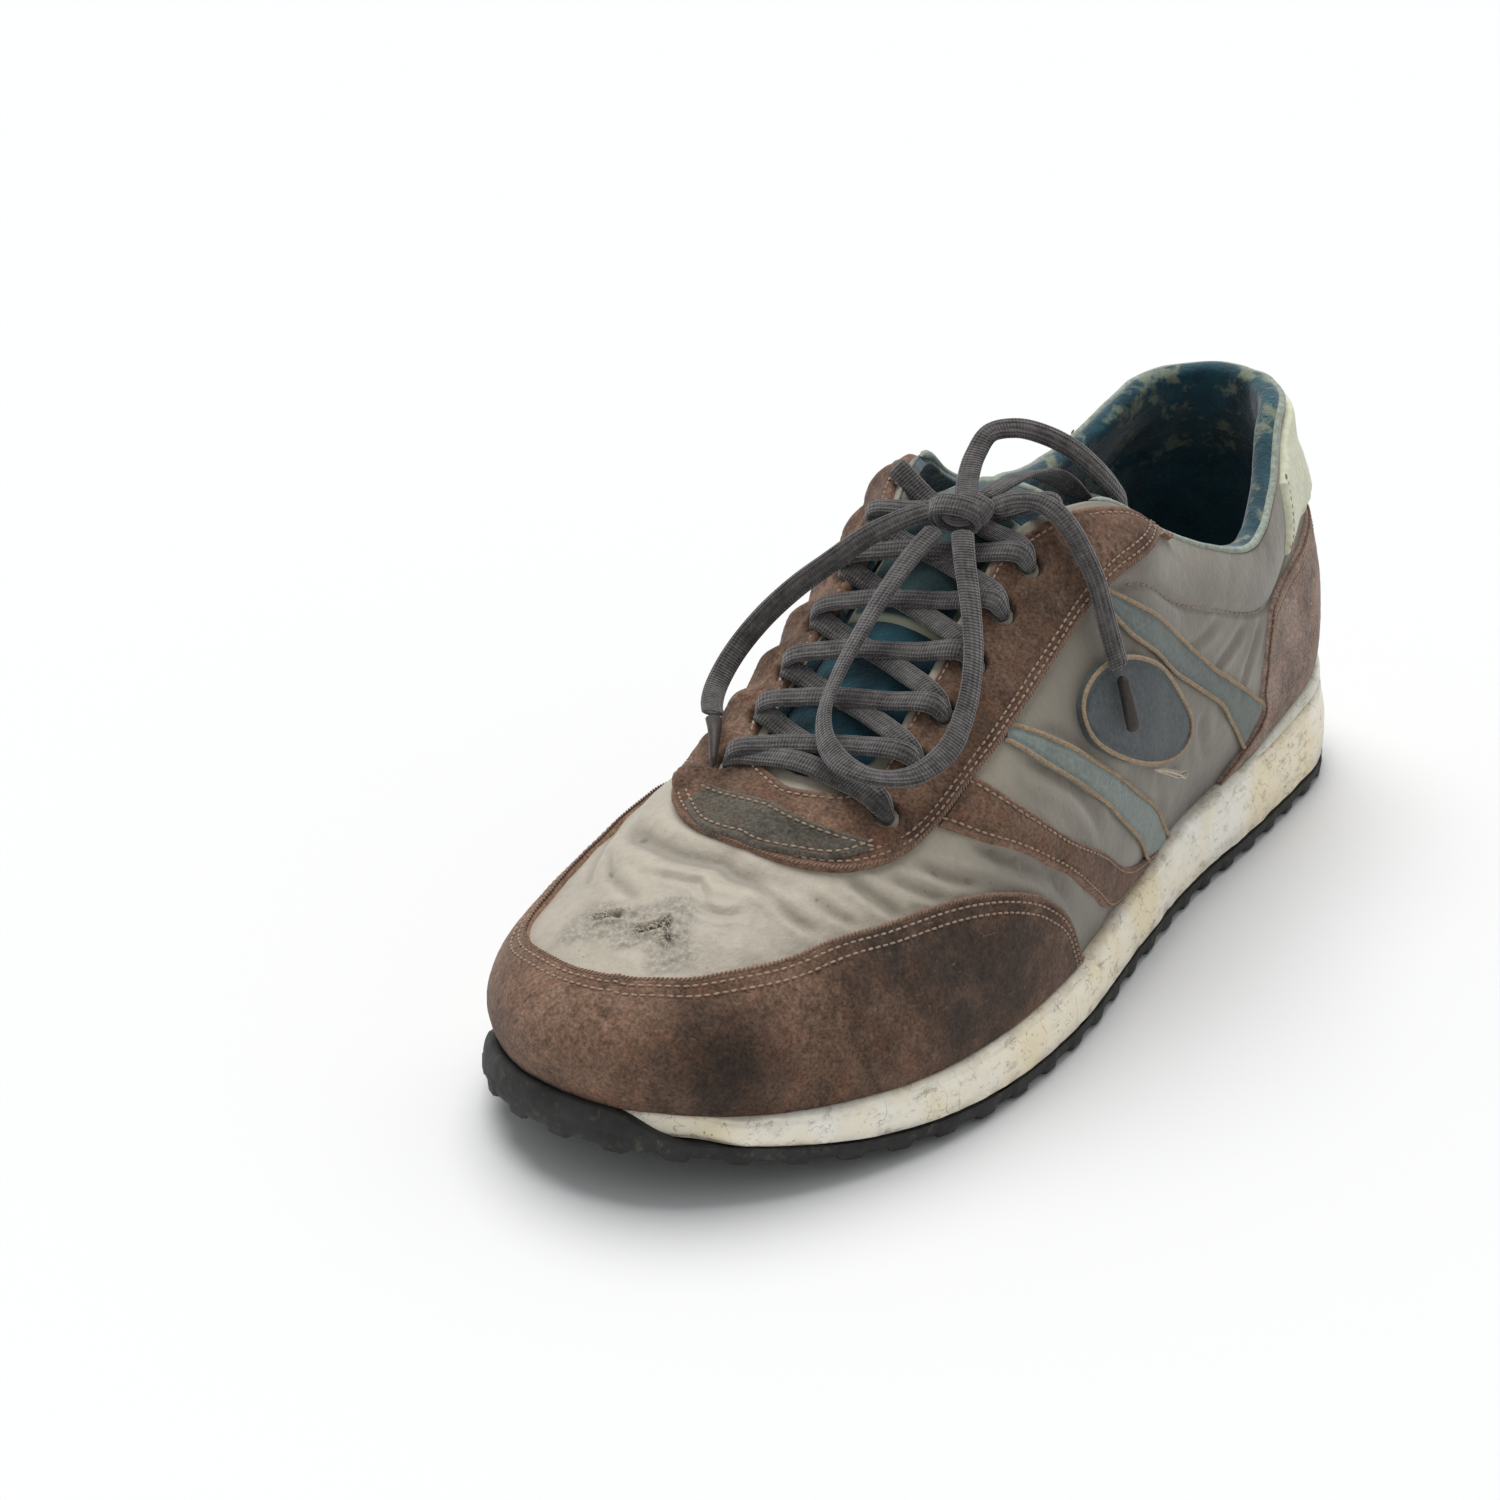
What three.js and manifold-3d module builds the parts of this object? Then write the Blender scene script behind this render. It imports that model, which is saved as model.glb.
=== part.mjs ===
// A worn low-cut sneaker for the left foot, standing empty on its sole. Millimetres, +Z up.
// The toe points along -Y, the outer (lateral) side is +X, and the origin is under the middle.
import * as THREE from "three";
import { mergeVertices } from "three/addons/utils/BufferGeometryUtils.js";
import Module from "manifold-3d";

const wasm = await Module();
wasm.setup();

// Driving dimensions
const LENGTH = 300; // of the sole's top edge, heel to toe
const GAP = 0.3; // left between pieces that touch
const WALL = 2.5; // upper: shell, padding and lining
const COLLAR_PAD = 3.5; // more wall around the ankle
const OVERLAY = 1.5; // leather laid over the upper
const SUNK = 0.7; // how far an overlay's blank reaches below the upper's face before it is cut back
const INSET = 3; // the upper's foot, in from the sole's edge
const FLARE = 2; // how far the sole spreads towards the ground
const OUTSOLE = 4.5; // outsole, lugs included
const LUG = 2.2; // depth of the tread
const BUMPER = 2.2; // rubber carried up over the toe
const WEDGE = 5; // heel wedge at the very back
const INSOLE = 4;
const TONGUE = 4;
const THROAT_HALF = 15; // half the gap between the two rows of eyelets
const LACE = 3; // diameter of the lace's plain tube
const EYELET = 4.6; // punched hole
const SHIFT = [1.4, 0.1, 0]; // puts the origin under the middle of the box

// Sections. s runs from 0 at the heel to 1 at the toe; each list holds [s, millimetres].
const SIDES = {
  lateral: {
    sign: 1,
    toeCap: 0.7,
    sole: [[0, 36], [0.12, 39], [0.25, 41], [0.38, 41.5], [0.5, 46], [0.62, 51.5], [0.75, 52], [1, 48]],
    rim: [[0, 20], [0.1, 23], [0.18, 31], [0.27, 36], [0.35, 34], [0.42, 30], [0.48, 26], [0.54, 19],
      [0.6, 12], [0.68, 5], [1, 0]],
    rimHeight: [[0, 101], [0.1, 97], [0.18, 85], [0.26, 78.5], [0.35, 86], [0.42, 96.5], [0.48, 108],
      [0.54, 109], [0.6, 101], [0.68, 86], [0.76, 70], [0.82, 61.5], [0.88, 57], [0.94, 53], [1, 49]],
    lowOut: [[0, 4], [0.2, 2], [0.5, 2], [0.8, 3], [0.92, 4], [1, 7]],
    lowUp: [[0, 24], [0.2, 18], [0.4, 24], [0.6, 26], [0.8, 20], [1, 17]],
    highOut: [[0, 3], [0.2, 5], [0.3, 8], [0.4, 13], [0.5, 20], [0.6, 28], [0.7, 34], [0.8, 36],
      [0.9, 30], [1, 22]],
  },
  medial: {
    sign: -1,
    toeCap: 0.79,
    sole: [[0, 36], [0.12, 37], [0.3, 35], [0.45, 36.5], [0.6, 44], [0.75, 52.5], [1, 49]],
    rim: [[0, 20], [0.1, 23], [0.18, 29], [0.27, 31], [0.35, 29], [0.42, 26], [0.48, 23], [0.54, 17],
      [0.6, 11], [0.68, 5], [1, 0]],
    rimHeight: [[0, 101], [0.1, 96], [0.18, 86], [0.26, 84], [0.35, 90], [0.42, 99], [0.48, 110],
      [0.54, 110], [0.6, 101], [0.68, 86], [0.76, 70], [0.82, 61.5], [0.88, 57], [0.94, 53], [1, 49]],
    lowOut: [[0, 4], [0.2, 2], [0.5, 1], [0.8, 4], [0.92, 8], [1, 7]],
    lowUp: [[0, 24], [0.2, 18], [0.4, 24], [0.6, 24], [0.8, 19], [1, 17]],
    highOut: [[0, 3], [0.2, 5], [0.3, 7], [0.4, 10], [0.5, 15], [0.6, 22], [0.7, 31], [0.8, 36],
      [0.9, 30], [1, 22]],
  },
};
const MIDDLE = [[0, 0], [0.5, 0], [0.8, -1.5], [1, -7]]; // the last's curve towards the big toe
const FOOT_HEIGHT = [[0, 34], [0.12, 29], [0.25, 24], [0.4, 20.5], [0.55, 17.5], [0.7, 16], [0.85, 16.5],
  [0.94, 18.5], [1, 21.5]]; // where the upper meets the sole
const BED_HEIGHT = [[0, 25], [0.15, 22], [0.4, 17], [0.6, 13.5], [0.8, 13], [0.92, 15], [1, 18.5]];
const UNDERSIDE = [[0, 6], [0.05, 1.8], [0.1, 0], [0.72, 0], [0.8, 1.2], [0.86, 3], [1, 12]];
const RIM_STATION = [[0, 0.037], [0.1, 0.105], [0.2, 0.19], [0.27, 0.25], [0.35, 0.33], [0.42, 0.395],
  [0.48, 0.45], [0.54, 0.51], [0.6, 0.57], [0.68, 0.65], [0.76, 0.73], [0.82, 0.785], [0.88, 0.835],
  [0.94, 0.88], [1, 0.91]]; // how far forward each rib has leaned at its top
const HIGH_DROP = [[0, 22], [0.2, 18], [0.3, 20], [0.4, 20], [0.5, 14], [0.6, 7], [0.7, 3], [0.78, 0],
  [1, 0]];
const HEEL_CAP = 0.13;
const COLLAR_CAP = 0.1;
const THROAT_TURN = 2.16; // round about here the throat's front end meets the vamp's ridge
const CAP_POWER = 2.15;

// Overlays, as [turn, height up the rib]; a turn of 0 is the heel's back and PI the tip of the toe.
const GUARD_EDGE = {
  lateral: [[1.78, 0], [1.85, 0.18], [1.91, 0.27], [2, 0.37], [2.16, 0.51], [2.3, 0.58], [2.5, 0.62],
    [2.68, 0.69], [2.9, 0.77], [3.142, 0.79]],
  medial: [[1.72, 0], [1.8, 0.2], [1.88, 0.31], [2, 0.42], [2.2, 0.5], [2.4, 0.5], [2.56, 0.47],
    [2.78, 0.63], [2.95, 0.73], [3.142, 0.79]],
};
const EYESTAY_EDGE = [[1.39, 1], [1.45, 0.93], [1.514, 0.83], [1.62, 0.752], [1.7, 0.715], [1.79, 0.68],
  [1.98, 0.648], [2.08, 0.643], [2.14, 0.657], [2.2, 0.7], [2.265, 0.77], [2.34, 0.89], [2.385, 1]];
const COUNTER_EDGE = [[0, 1.17], [0.06, 1.04], [0.24, 1.02], [0.47, 1.03], [0.55, 1.015]];
const EYESTAY_BACK = 0.03; // how far its opening runs past the upper's, in turn
const EYESTAY_STEPS = 11;
const RIM_SHARE = 0.985; // overlays stop this far up a rib, short of the rim
const TAB_TURN = 0.76;
const TAB_LOW = 0.575;
const TAB_HIGH = 0.97;

// Eyelets: how far along the shoe, and how far out from the throat's middle
const EYELET_Y = [-73.7, -60.9, -49.8, -37.4, -25.2, -13.7, -0.5];
const EYELET_OUT = { 1: 22, [-1]: 18.6 };

// Tongue, as [y, height of its crest] and how its sides fall away
const TONGUE_CREST = [[-88, 56.5], [-80, 60.4], [-70, 65.2], [-60, 72.2], [-50, 78.6], [-40, 84.8],
  [-30, 91.4], [-20, 98], [-10, 103.2], [0, 106.4], [10, 107.4], [18, 106.4]];
const TONGUE_HALF = [[-88, 16], [-60, 19], [0, 21], [12, 21], [18, 17]];
const TONGUE_FALL = 0.0185;

// The bow, by hand: the knot and the routes of its loops and ends
const KNOT = [5.5, -16, 111];
const FRONT_LOOP = [[3.5, -22.2, 109], [2, -29, 105.5], [1, -39, 100], [0, -49, 92.5], [-0.5, -58, 85],
  [1, -66, 79], [6, -72.5, 75.5], [13, -76.5, 74], [20, -76.5, 73], [26.5, -72, 73], [30, -63, 76],
  [29, -53, 82], [25.5, -44, 90], [20, -36, 98.5], [14, -28.5, 105.5], [9.5, -22, 109.8]];
const BACK_LOOP = [[3.5, -9.7, 112], [0, -3, 114], [-2, 4, 117.5], [-1.5, 9.5, 121], [2.5, 14.5, 121.5],
  [8, 19, 119.5], [13, 22, 116.5], [18, 24.5, 112], [21.5, 28, 106.5], [22, 33, 101], [19.5, 36, 98.5],
  [15.5, 34, 99], [13, 28, 103], [11, 20.5, 109], [9.5, 10, 113], [8.5, 0, 113.8], [7.5, -9.5, 113]];
const MEDIAL_END = [[-0.8, -17.5, 111], [-6, -23, 109], [-11, -28, 106], [-17, -34, 100.5], [-24, -38, 94],
  [-30.5, -43, 86], [-33.5, -50, 79], [-33, -57, 74.7], [-30, -63.5, 73.4], [-26, -69, 73.4]];
const MEDIAL_AGLET = [[-25.3, -69.9, 73.4], [-21, -76, 73], [-16.5, -83.5, 69]];
const LATERAL_END = [[11.6, -13.3, 112.3], [15.5, -9.5, 113.8], [20, -7.5, 114],
  [25, -7, 112.2], [29, -7, 108.7], [32.5, -7.2, 104], [36, -7.6, 98.5], [39, -8.4, 91.5],
  [41.7, -8.7, 84.2], [43.6, -8.4, 78.5]];
const LATERAL_AGLET = [[43.9, -8.3, 77.4], [45.6, -7.4, 70.5], [47, -6.4, 63.5]];

// Grids
const TURNS = 64; // columns around the shoe
const RIB_STEPS = 8; // rows up the upper

const { PI, abs, cos, max, min, sin, sqrt } = Math;

function clamp(x, low = 0, high = 1) {
  return min(max(x, low), high);
}

function smooth(x) {
  const t = clamp(x);
  return t * t * (3 - 2 * t);
}

// A smooth curve through pairs, held level past its two ends
function along(pairs, x) {
  const last = pairs.length - 1;
  const at = clamp(x, pairs[0][0], pairs[last][0]);
  let i = 0;
  while (i < last - 1 && at >= pairs[i + 1][0]) {
    i += 1;
  }
  const step = (k) => pairs[k + 1][0] - pairs[k][0];
  const rise = (k) => (pairs[k + 1][1] - pairs[k][1]) / step(k);
  const slope = (k) => {
    if (k === 0) return rise(0);
    if (k === last) return rise(last - 1);
    return (rise(k - 1) * step(k) + rise(k) * step(k - 1)) / (step(k - 1) + step(k));
  };
  const h = step(i);
  const t = (at - pairs[i][0]) / h;
  const a = 2 * t ** 3 - 3 * t ** 2 + 1;
  const b = t ** 3 - 2 * t ** 2 + t;
  const c = 3 * t ** 2 - 2 * t ** 3;
  const d = t ** 3 - t ** 2;
  return a * pairs[i][1] + b * h * slope(i) + c * pairs[i + 1][1] + d * h * slope(i + 1);
}

function rounding(s, heel, toe, power) {
  const back = clamp(1 - s / heel);
  const front = toe < 1 ? clamp((s - toe) / (1 - toe)) : 0;
  return (1 - back ** power) ** (1 / power) * (1 - front ** power) ** (1 / power);
}

function stationOf(turn) {
  return (1 - cos(turn)) / 2;
}

function yOf(s) {
  return LENGTH / 2 - LENGTH * s;
}

// Height of the tread's face: a bevel at the heel, flat on the ground, then the toe spring
function groundAt(s) {
  return s > 0.1 && s < 0.72 ? 0 : max(along(UNDERSIDE, s), 0);
}

function sideOf(turn) {
  return sin(turn) >= 0 ? SIDES.lateral : SIDES.medial;
}

function planPoint(turn) {
  const s = stationOf(turn);
  const side = sideOf(turn);
  const half = along(side.sole, s) * rounding(s, HEEL_CAP, side.toeCap, CAP_POWER);
  return new THREE.Vector3(along(MIDDLE, s) + side.sign * half, yOf(s), 0);
}

// The way out from the sole's edge, level
function planNormal(turn) {
  const e = 2e-3;
  const t = planPoint(turn + e).sub(planPoint(turn - e));
  return new THREE.Vector3(-t.y, t.x, 0).normalize();
}

// The sole's plan outline, moved out by grow, at height z
function edge(turn, grow, z) {
  const p = planPoint(turn).addScaledVector(planNormal(turn), grow);
  p.z = z;
  return p;
}

function columnNear(turn) {
  const step = (2 * PI) / TURNS;
  return Math.round(turn / step) * step;
}

const THROAT_COLUMN = columnNear(THROAT_TURN);
const RIDGE_STATION = stationOf(THROAT_COLUMN);
const CLOSING = 0.1; // over this much of the length the throat's two sides draw together

// The upper's outer face: v = 0 at the sole, v = 1 at the collar, the throat or the vamp's ridge
function rib(turn) {
  const s = stationOf(turn);
  const side = sideOf(turn);
  const n = planNormal(turn);
  const foot = edge(turn, -INSET, along(FOOT_HEIGHT, s));
  const station = along(RIM_STATION, s);
  const drawn = 1 - smooth((s - RIDGE_STATION + CLOSING) / CLOSING);
  const half = along(side.rim, s) * rounding(s, COLLAR_CAP, 1, 2) * drawn;
  const top = new THREE.Vector3(along(MIDDLE, station) + side.sign * half, yOf(station),
    along(side.rimHeight, s));
  const e = 1e-3;
  const ahead = clamp(s + e);
  const behind = clamp(s - e);
  const climb = along(side.rimHeight, ahead) - along(side.rimHeight, behind);
  const run = yOf(along(RIM_STATION, ahead)) - yOf(along(RIM_STATION, behind));
  const closed = smooth((s - 0.62) / 0.14);
  const low = foot.clone().addScaledVector(n, along(side.lowOut, s));
  low.z += along(side.lowUp, s);
  const reach = along(side.highOut, s);
  const high = top.clone().addScaledVector(n, reach);
  high.z += n.y * reach * (climb / run) * closed - along(HIGH_DROP, s);
  return new THREE.CubicBezierCurve3(foot, low, high, top);
}

function onUpper(turn, v) {
  return rib(turn).getPoint(v);
}

function sideNormal(turn, v) {
  const e = 2e-3;
  const up = onUpper(turn, min(v + e, 1)).sub(onUpper(turn, max(v - e, 0)));
  const around = onUpper(turn + e, v).sub(onUpper(turn - e, v));
  return up.cross(around).normalize();
}

// On the ridge, where the two sides meet, the normal is shared
function upperNormal(turn, v) {
  const n = sideNormal(turn, v);
  if (v > 0.9999 && stationOf(turn) > RIDGE_STATION - 1e-6) {
    n.add(sideNormal(2 * PI - turn, v)).normalize();
  }
  return n;
}

// A point a little off the upper's outer face
function offUpper(turn, v, lift) {
  return onUpper(turn, v).addScaledVector(upperNormal(turn, v), lift);
}

// The throat: a long opening with a round front end at the column THROAT_FRONT
const RIDGE_FRONT = onUpper(THROAT_COLUMN, 1);
const THROAT_FRONT = RIDGE_FRONT.y;

function throatHalf(y) {
  const t = clamp((THROAT_FRONT + 16 - y) / 16);
  return THROAT_HALF * sqrt(max(1 - t * t, 0));
}

// How high up its rib the upper reaches: to the collar or ridge, or only to the throat's edge
function ribTop(turn) {
  const fold = turn > PI ? 2 * PI - turn : turn;
  if (fold > THROAT_COLUMN - 1e-6 || fold < 1.5) {
    return 1;
  }
  const outside = (v) => {
    const p = onUpper(turn, v);
    return abs(p.x - along(MIDDLE, stationAt(p.y))) - throatHalf(p.y);
  };
  if (outside(1) >= 0) {
    return 1;
  }
  let low = 0.5;
  let high = 1;
  for (let i = 0; i < 24; i += 1) {
    const mid = (low + high) / 2;
    if (outside(mid) > 0) {
      low = mid;
    } else {
      high = mid;
    }
  }
  return low;
}

function stationAt(y) {
  return (LENGTH / 2 - y) / LENGTH;
}

// Solids as lists of triangles, three points each
class Skin {
  constructor() {
    this.points = [];
  }

  // A strip between two rows of equal length; its outside faces (b - a) x (next - a)
  strip(a, b) {
    for (let i = 0; i + 1 < a.length; i += 1) {
      this.points.push(a[i], b[i], a[i + 1], b[i], b[i + 1], a[i + 1]);
    }
  }

  grid(rows) {
    for (let i = 0; i + 1 < rows.length; i += 1) {
      this.strip(rows[i], rows[i + 1]);
    }
  }

  geometry() {
    const flat = new THREE.BufferGeometry().setFromPoints(this.points);
    const merged = mergeVertices(flat, 1e-3);
    const index = merged.getIndex().array;
    const kept = [];
    for (let i = 0; i < index.length; i += 3) {
      const [a, b, c] = [index[i], index[i + 1], index[i + 2]];
      if (a !== b && b !== c && c !== a) {
        kept.push(a, b, c);
      }
    }
    merged.setIndex(kept);
    return merged;
  }
}

function toManifold(geometry) {
  const bare = geometry.clone();
  bare.deleteAttribute("normal");
  bare.deleteAttribute("uv");
  const merged = mergeVertices(bare, 1e-3);
  return new wasm.Manifold(new wasm.Mesh({
    numProp: 3,
    vertProperties: new Float32Array(merged.getAttribute("position").array),
    triVerts: new Uint32Array(merged.getIndex().array),
  }));
}

function fromManifold(solid) {
  const mesh = solid.getMesh();
  const geometry = new THREE.BufferGeometry();
  geometry.setAttribute("position", new THREE.BufferAttribute(new Float32Array(mesh.vertProperties), 3));
  geometry.setIndex(new THREE.BufferAttribute(new Uint32Array(mesh.triVerts), 1));
  return geometry;
}

function cut(geometry, tools) {
  let solid = toManifold(geometry);
  for (const tool of tools) {
    solid = solid.subtract(toManifold(tool));
  }
  return fromManifold(solid);
}

function join(geometries) {
  let solid = toManifold(geometries[0]);
  for (const other of geometries.slice(1)) {
    solid = solid.add(toManifold(other));
  }
  return fromManifold(solid);
}

function turnsBetween(from, to, count) {
  return Array.from({ length: count + 1 }, (_, i) => from + ((to - from) * i) / count);
}

// The upper: one hollow shell, open at the collar, at the throat and underneath
function wallAt(turn, v) {
  const s = stationOf(turn);
  const padded = smooth((v - 0.62) / 0.3) * smooth((0.46 - s) / 0.1);
  return WALL + COLLAR_PAD * padded;
}

// lift moves the outer face out; wall gives the depth from there to the inner face
function upperForm(lift, wall) {
  const turns = turnsBetween(0, 2 * PI, TURNS);
  const outer = [];
  const inner = [];
  for (let r = 0; r <= RIB_STEPS; r += 1) {
    const outerRow = [];
    const innerRow = [];
    for (const turn of turns) {
      const v = (ribTop(turn) * r) / RIB_STEPS;
      const out = offUpper(turn, v, lift);
      const inside = offUpper(turn, v, lift - wall(turn, v));
      if (r === 0) {
        out.z = onUpper(turn, v).z;
        inside.z = out.z;
      }
      outerRow.push(out);
      innerRow.push(inside);
    }
    outer.push(outerRow);
    inner.push(innerRow);
  }
  const skin = new Skin();
  skin.grid(outer);
  skin.grid([...inner].reverse());
  skin.strip(inner[0], outer[0]);
  const open = turns.filter((turn) => (turn > PI ? 2 * PI - turn : turn) < THROAT_COLUMN + 1e-6);
  const lateral = open.filter((turn) => turn < PI).length;
  const last = turns.length - (open.length - lateral);
  const [outerTop, innerTop] = [outer[RIB_STEPS], inner[RIB_STEPS]];
  skin.strip(outerTop.slice(0, lateral), innerTop.slice(0, lateral));
  skin.strip(outerTop.slice(last), innerTop.slice(last));
  return skin.geometry();
}

// Leather laid on the upper: a patch of its outer face moved out, then cut back to a larger
// form of the upper, so the two follow each other. A row holds [turn, v] pairs, lowest row first.
const LAYER_FOOT = 0.004; // clear of the sole

function layer(rows, height) {
  return rows.map((row) => row.map(([turn, v]) => {
    const p = offUpper(turn, max(v, LAYER_FOOT), height);
    p.z = max(p.z, onUpper(turn, 0).z + 0.15);
    return p;
  }));
}

function cutter() {
  return upperForm(GAP, () => 2 * WALL);
}

function overlay(rows) {
  const outer = layer(rows, GAP + OVERLAY);
  const inner = layer(rows, -SUNK);
  const skin = new Skin();
  const last = rows.length - 1;
  const end = rows[0].length - 1;
  const column = (grid, c) => grid.map((row) => row[c]);
  skin.grid(outer);
  skin.grid([...inner].reverse());
  skin.strip(inner[0], outer[0]);
  skin.strip(outer[last], inner[last]);
  skin.strip(column(outer, 0), column(inner, 0));
  skin.strip(column(inner, end), column(outer, end));
  return cut(skin.geometry(), [cutter()]);
}

function mudguard() {
  const [from, to] = [GUARD_EDGE.lateral[0][0], 2 * PI - GUARD_EDGE.medial[0][0]];
  const turns = turnsBetween(from, to, 27);
  const topOf = (turn) => {
    const side = turn <= PI ? GUARD_EDGE.lateral : GUARD_EDGE.medial;
    return along(side, turn <= PI ? turn : 2 * PI - turn);
  };
  const rows = [0, 0.35, 0.7, 1].map((w) => turns.map((turn) => [turn, w * topOf(turn)]));
  return overlay(rows);
}

function heelCounter() {
  const shares = turnsBetween(-1, 1, 17);
  const rows = turnsBetween(0, 0.55, 4).map((v) => {
    const reach = along(COUNTER_EDGE, v);
    const lift = (share) => 1 + 0.22 * smooth((abs(share) - 0.66) / 0.3);
    return shares.map((share) => [share * reach, v * lift(share)]);
  });
  return overlay(rows);
}

function heelTab() {
  const turns = turnsBetween(-TAB_TURN, TAB_TURN, 9);
  const lowAt = (turn) => TAB_LOW + 0.12 * smooth((abs(turn) - 0.5) / 0.26);
  const rows = turnsBetween(0, 1, 3).map((w) => turns.map((turn) => {
    const low = lowAt(turn);
    return [turn, low + (TAB_HIGH - low) * w];
  }));
  return overlay(rows);
}

// The eyestay runs down one side of the throat, round its front and up the other side, its own
// edge a little back from the upper's
function eyestayBlank() {
  const tip = EYESTAY_EDGE[0][0];
  const tail = EYESTAY_EDGE[EYESTAY_EDGE.length - 1][0];
  const front = THROAT_COLUMN + EYESTAY_BACK;
  const folds = [...turnsBetween(tip, front, EYESTAY_STEPS), ...turnsBetween(front, tail, 3).slice(1)];
  const open = EYESTAY_STEPS + 1;
  const skin = new Skin();
  for (const flip of [false, true]) {
    const turns = flip ? folds.map((fold) => 2 * PI - fold).reverse() : folds;
    const rows = [0, 0.33, 0.66, 1].map((w) => turns.map((turn) => {
      const fold = flip ? 2 * PI - turn : turn;
      const low = min(along(EYESTAY_EDGE, fold), fold < PI / 2 ? RIM_SHARE : 1);
      const behind = turn > PI ? turn + EYESTAY_BACK : turn - EYESTAY_BACK;
      const high = fold < front - 1e-6 ? min(ribTop(behind) - 0.03, RIM_SHARE) : 1;
      return [turn, low + max(high - low, 0) * w];
    }));
    const outer = layer(rows, GAP + OVERLAY);
    const inner = layer(rows, -SUNK);
    skin.grid(outer);
    skin.grid([...inner].reverse());
    skin.strip(inner[0], outer[0]);
    const slice = flip ? [turns.length - open, turns.length] : [0, open];
    skin.strip(outer[3].slice(...slice), inner[3].slice(...slice));
  }
  return skin.geometry();
}

// The point of the upper's face over (sign * out, y)
function faceAt(sign, out, y) {
  let [turn, v] = [1.8, 0.85];
  const aim = new THREE.Vector2(sign * out, y);
  const at = (a, b) => onUpper(sign > 0 ? a : 2 * PI - a, b);
  for (let i = 0; i < 30; i += 1) {
    const e = 1e-3;
    const p = at(turn, v);
    const da = at(turn + e, v).sub(p).divideScalar(e);
    const db = at(turn, v + e).sub(p).divideScalar(e);
    const [dx, dy] = [aim.x - p.x, aim.y - p.y];
    const det = da.x * db.y - da.y * db.x;
    turn += clamp((dx * db.y - dy * db.x) / det, -0.1, 0.1);
    v = min(v + clamp((da.x * dy - da.y * dx) / det, -0.1, 0.1), 0.995);
  }
  const side = sign > 0 ? turn : 2 * PI - turn;
  return { point: onUpper(side, v), normal: upperNormal(side, v) };
}

const EYELETS = [1, -1].map((sign) => EYELET_Y.map((y) => faceAt(sign, EYELET_OUT[sign], y)));

function eyeletPunches() {
  return EYELETS.flat().map(({ point, normal }) => {
    const punch = new THREE.CylinderGeometry(EYELET / 2, EYELET / 2, 9, 6);
    punch.applyQuaternion(new THREE.Quaternion().setFromUnitVectors(new THREE.Vector3(0, 1, 0), normal));
    punch.translate(point.x, point.y, point.z);
    return punch;
  });
}

// Sole pieces: each column's profile runs from the middle of the underside, out, up and back in
function soleSkin(turns, profile) {
  const columns = turns.map(profile);
  return columns[0].map((_, k) => columns.map((column) => column[k]));
}

// A point of the sole's middle line beside this column; heightOf gives its height there
function middlePoint(turn, heightOf) {
  const s = 0.06 + 0.88 * stationOf(turn);
  return new THREE.Vector3(along(MIDDLE, s), yOf(s), heightOf(s));
}

function between(a, b, t) {
  return a.clone().lerp(b, t);
}

function toeShare(turn) {
  return turn < PI ? smooth((turn - 2.66) / 0.14) : smooth((stationOf(turn) - 0.87) / 0.06);
}

// How far a sidewall stands out from the sole's edge, at a share of its height
function soleGrow(turn, height) {
  return FLARE * (1 - height) - (BUMPER + GAP) * toeShare(turn);
}

const WEDGE_COLUMNS = 11; // the wedge ends at this column on each side

function wedgeDrop(turn) {
  const fold = turn > PI ? 2 * PI - turn : turn;
  const end = (WEDGE_COLUMNS * 2 * PI) / TURNS;
  return fold < end + 1e-6 ? WEDGE * (1 - stationOf(fold) / stationOf(end)) + GAP + 0.9 : 0;
}

function midsoleTop(turn) {
  return along(FOOT_HEIGHT, stationOf(turn)) - GAP - wedgeDrop(turn);
}

function midsole() {
  const turns = turnsBetween(0, 2 * PI, TURNS);
  const profile = (turn) => {
    const s = stationOf(turn);
    const lowAt = (station) => groundAt(station) + OUTSOLE + 1.2 * GAP;
    const bedAt = (station) => along(BED_HEIGHT, station) - GAP;
    const low = lowAt(s);
    const top = midsoleTop(turn);
    const bed = min(bedAt(s), top - 0.4);
    const middleLow = middlePoint(turn, lowAt);
    const out = edge(turn, soleGrow(turn, 0), low);
    const rimIn = edge(turn, -INSET - WALL - 2.5, bed);
    return [
      middleLow,
      between(middleLow, out, 0.6),
      out,
      edge(turn, soleGrow(turn, 1), top),
      edge(turn, -INSET - WALL - 0.8 - (BUMPER + GAP) * 0.2 * toeShare(turn), top),
      rimIn,
      between(rimIn, middlePoint(turn, bedAt), 0.5),
      middlePoint(turn, bedAt),
    ];
  };
  const skin = new Skin();
  skin.grid(soleSkin(turns, profile));
  return skin.geometry();
}

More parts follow.
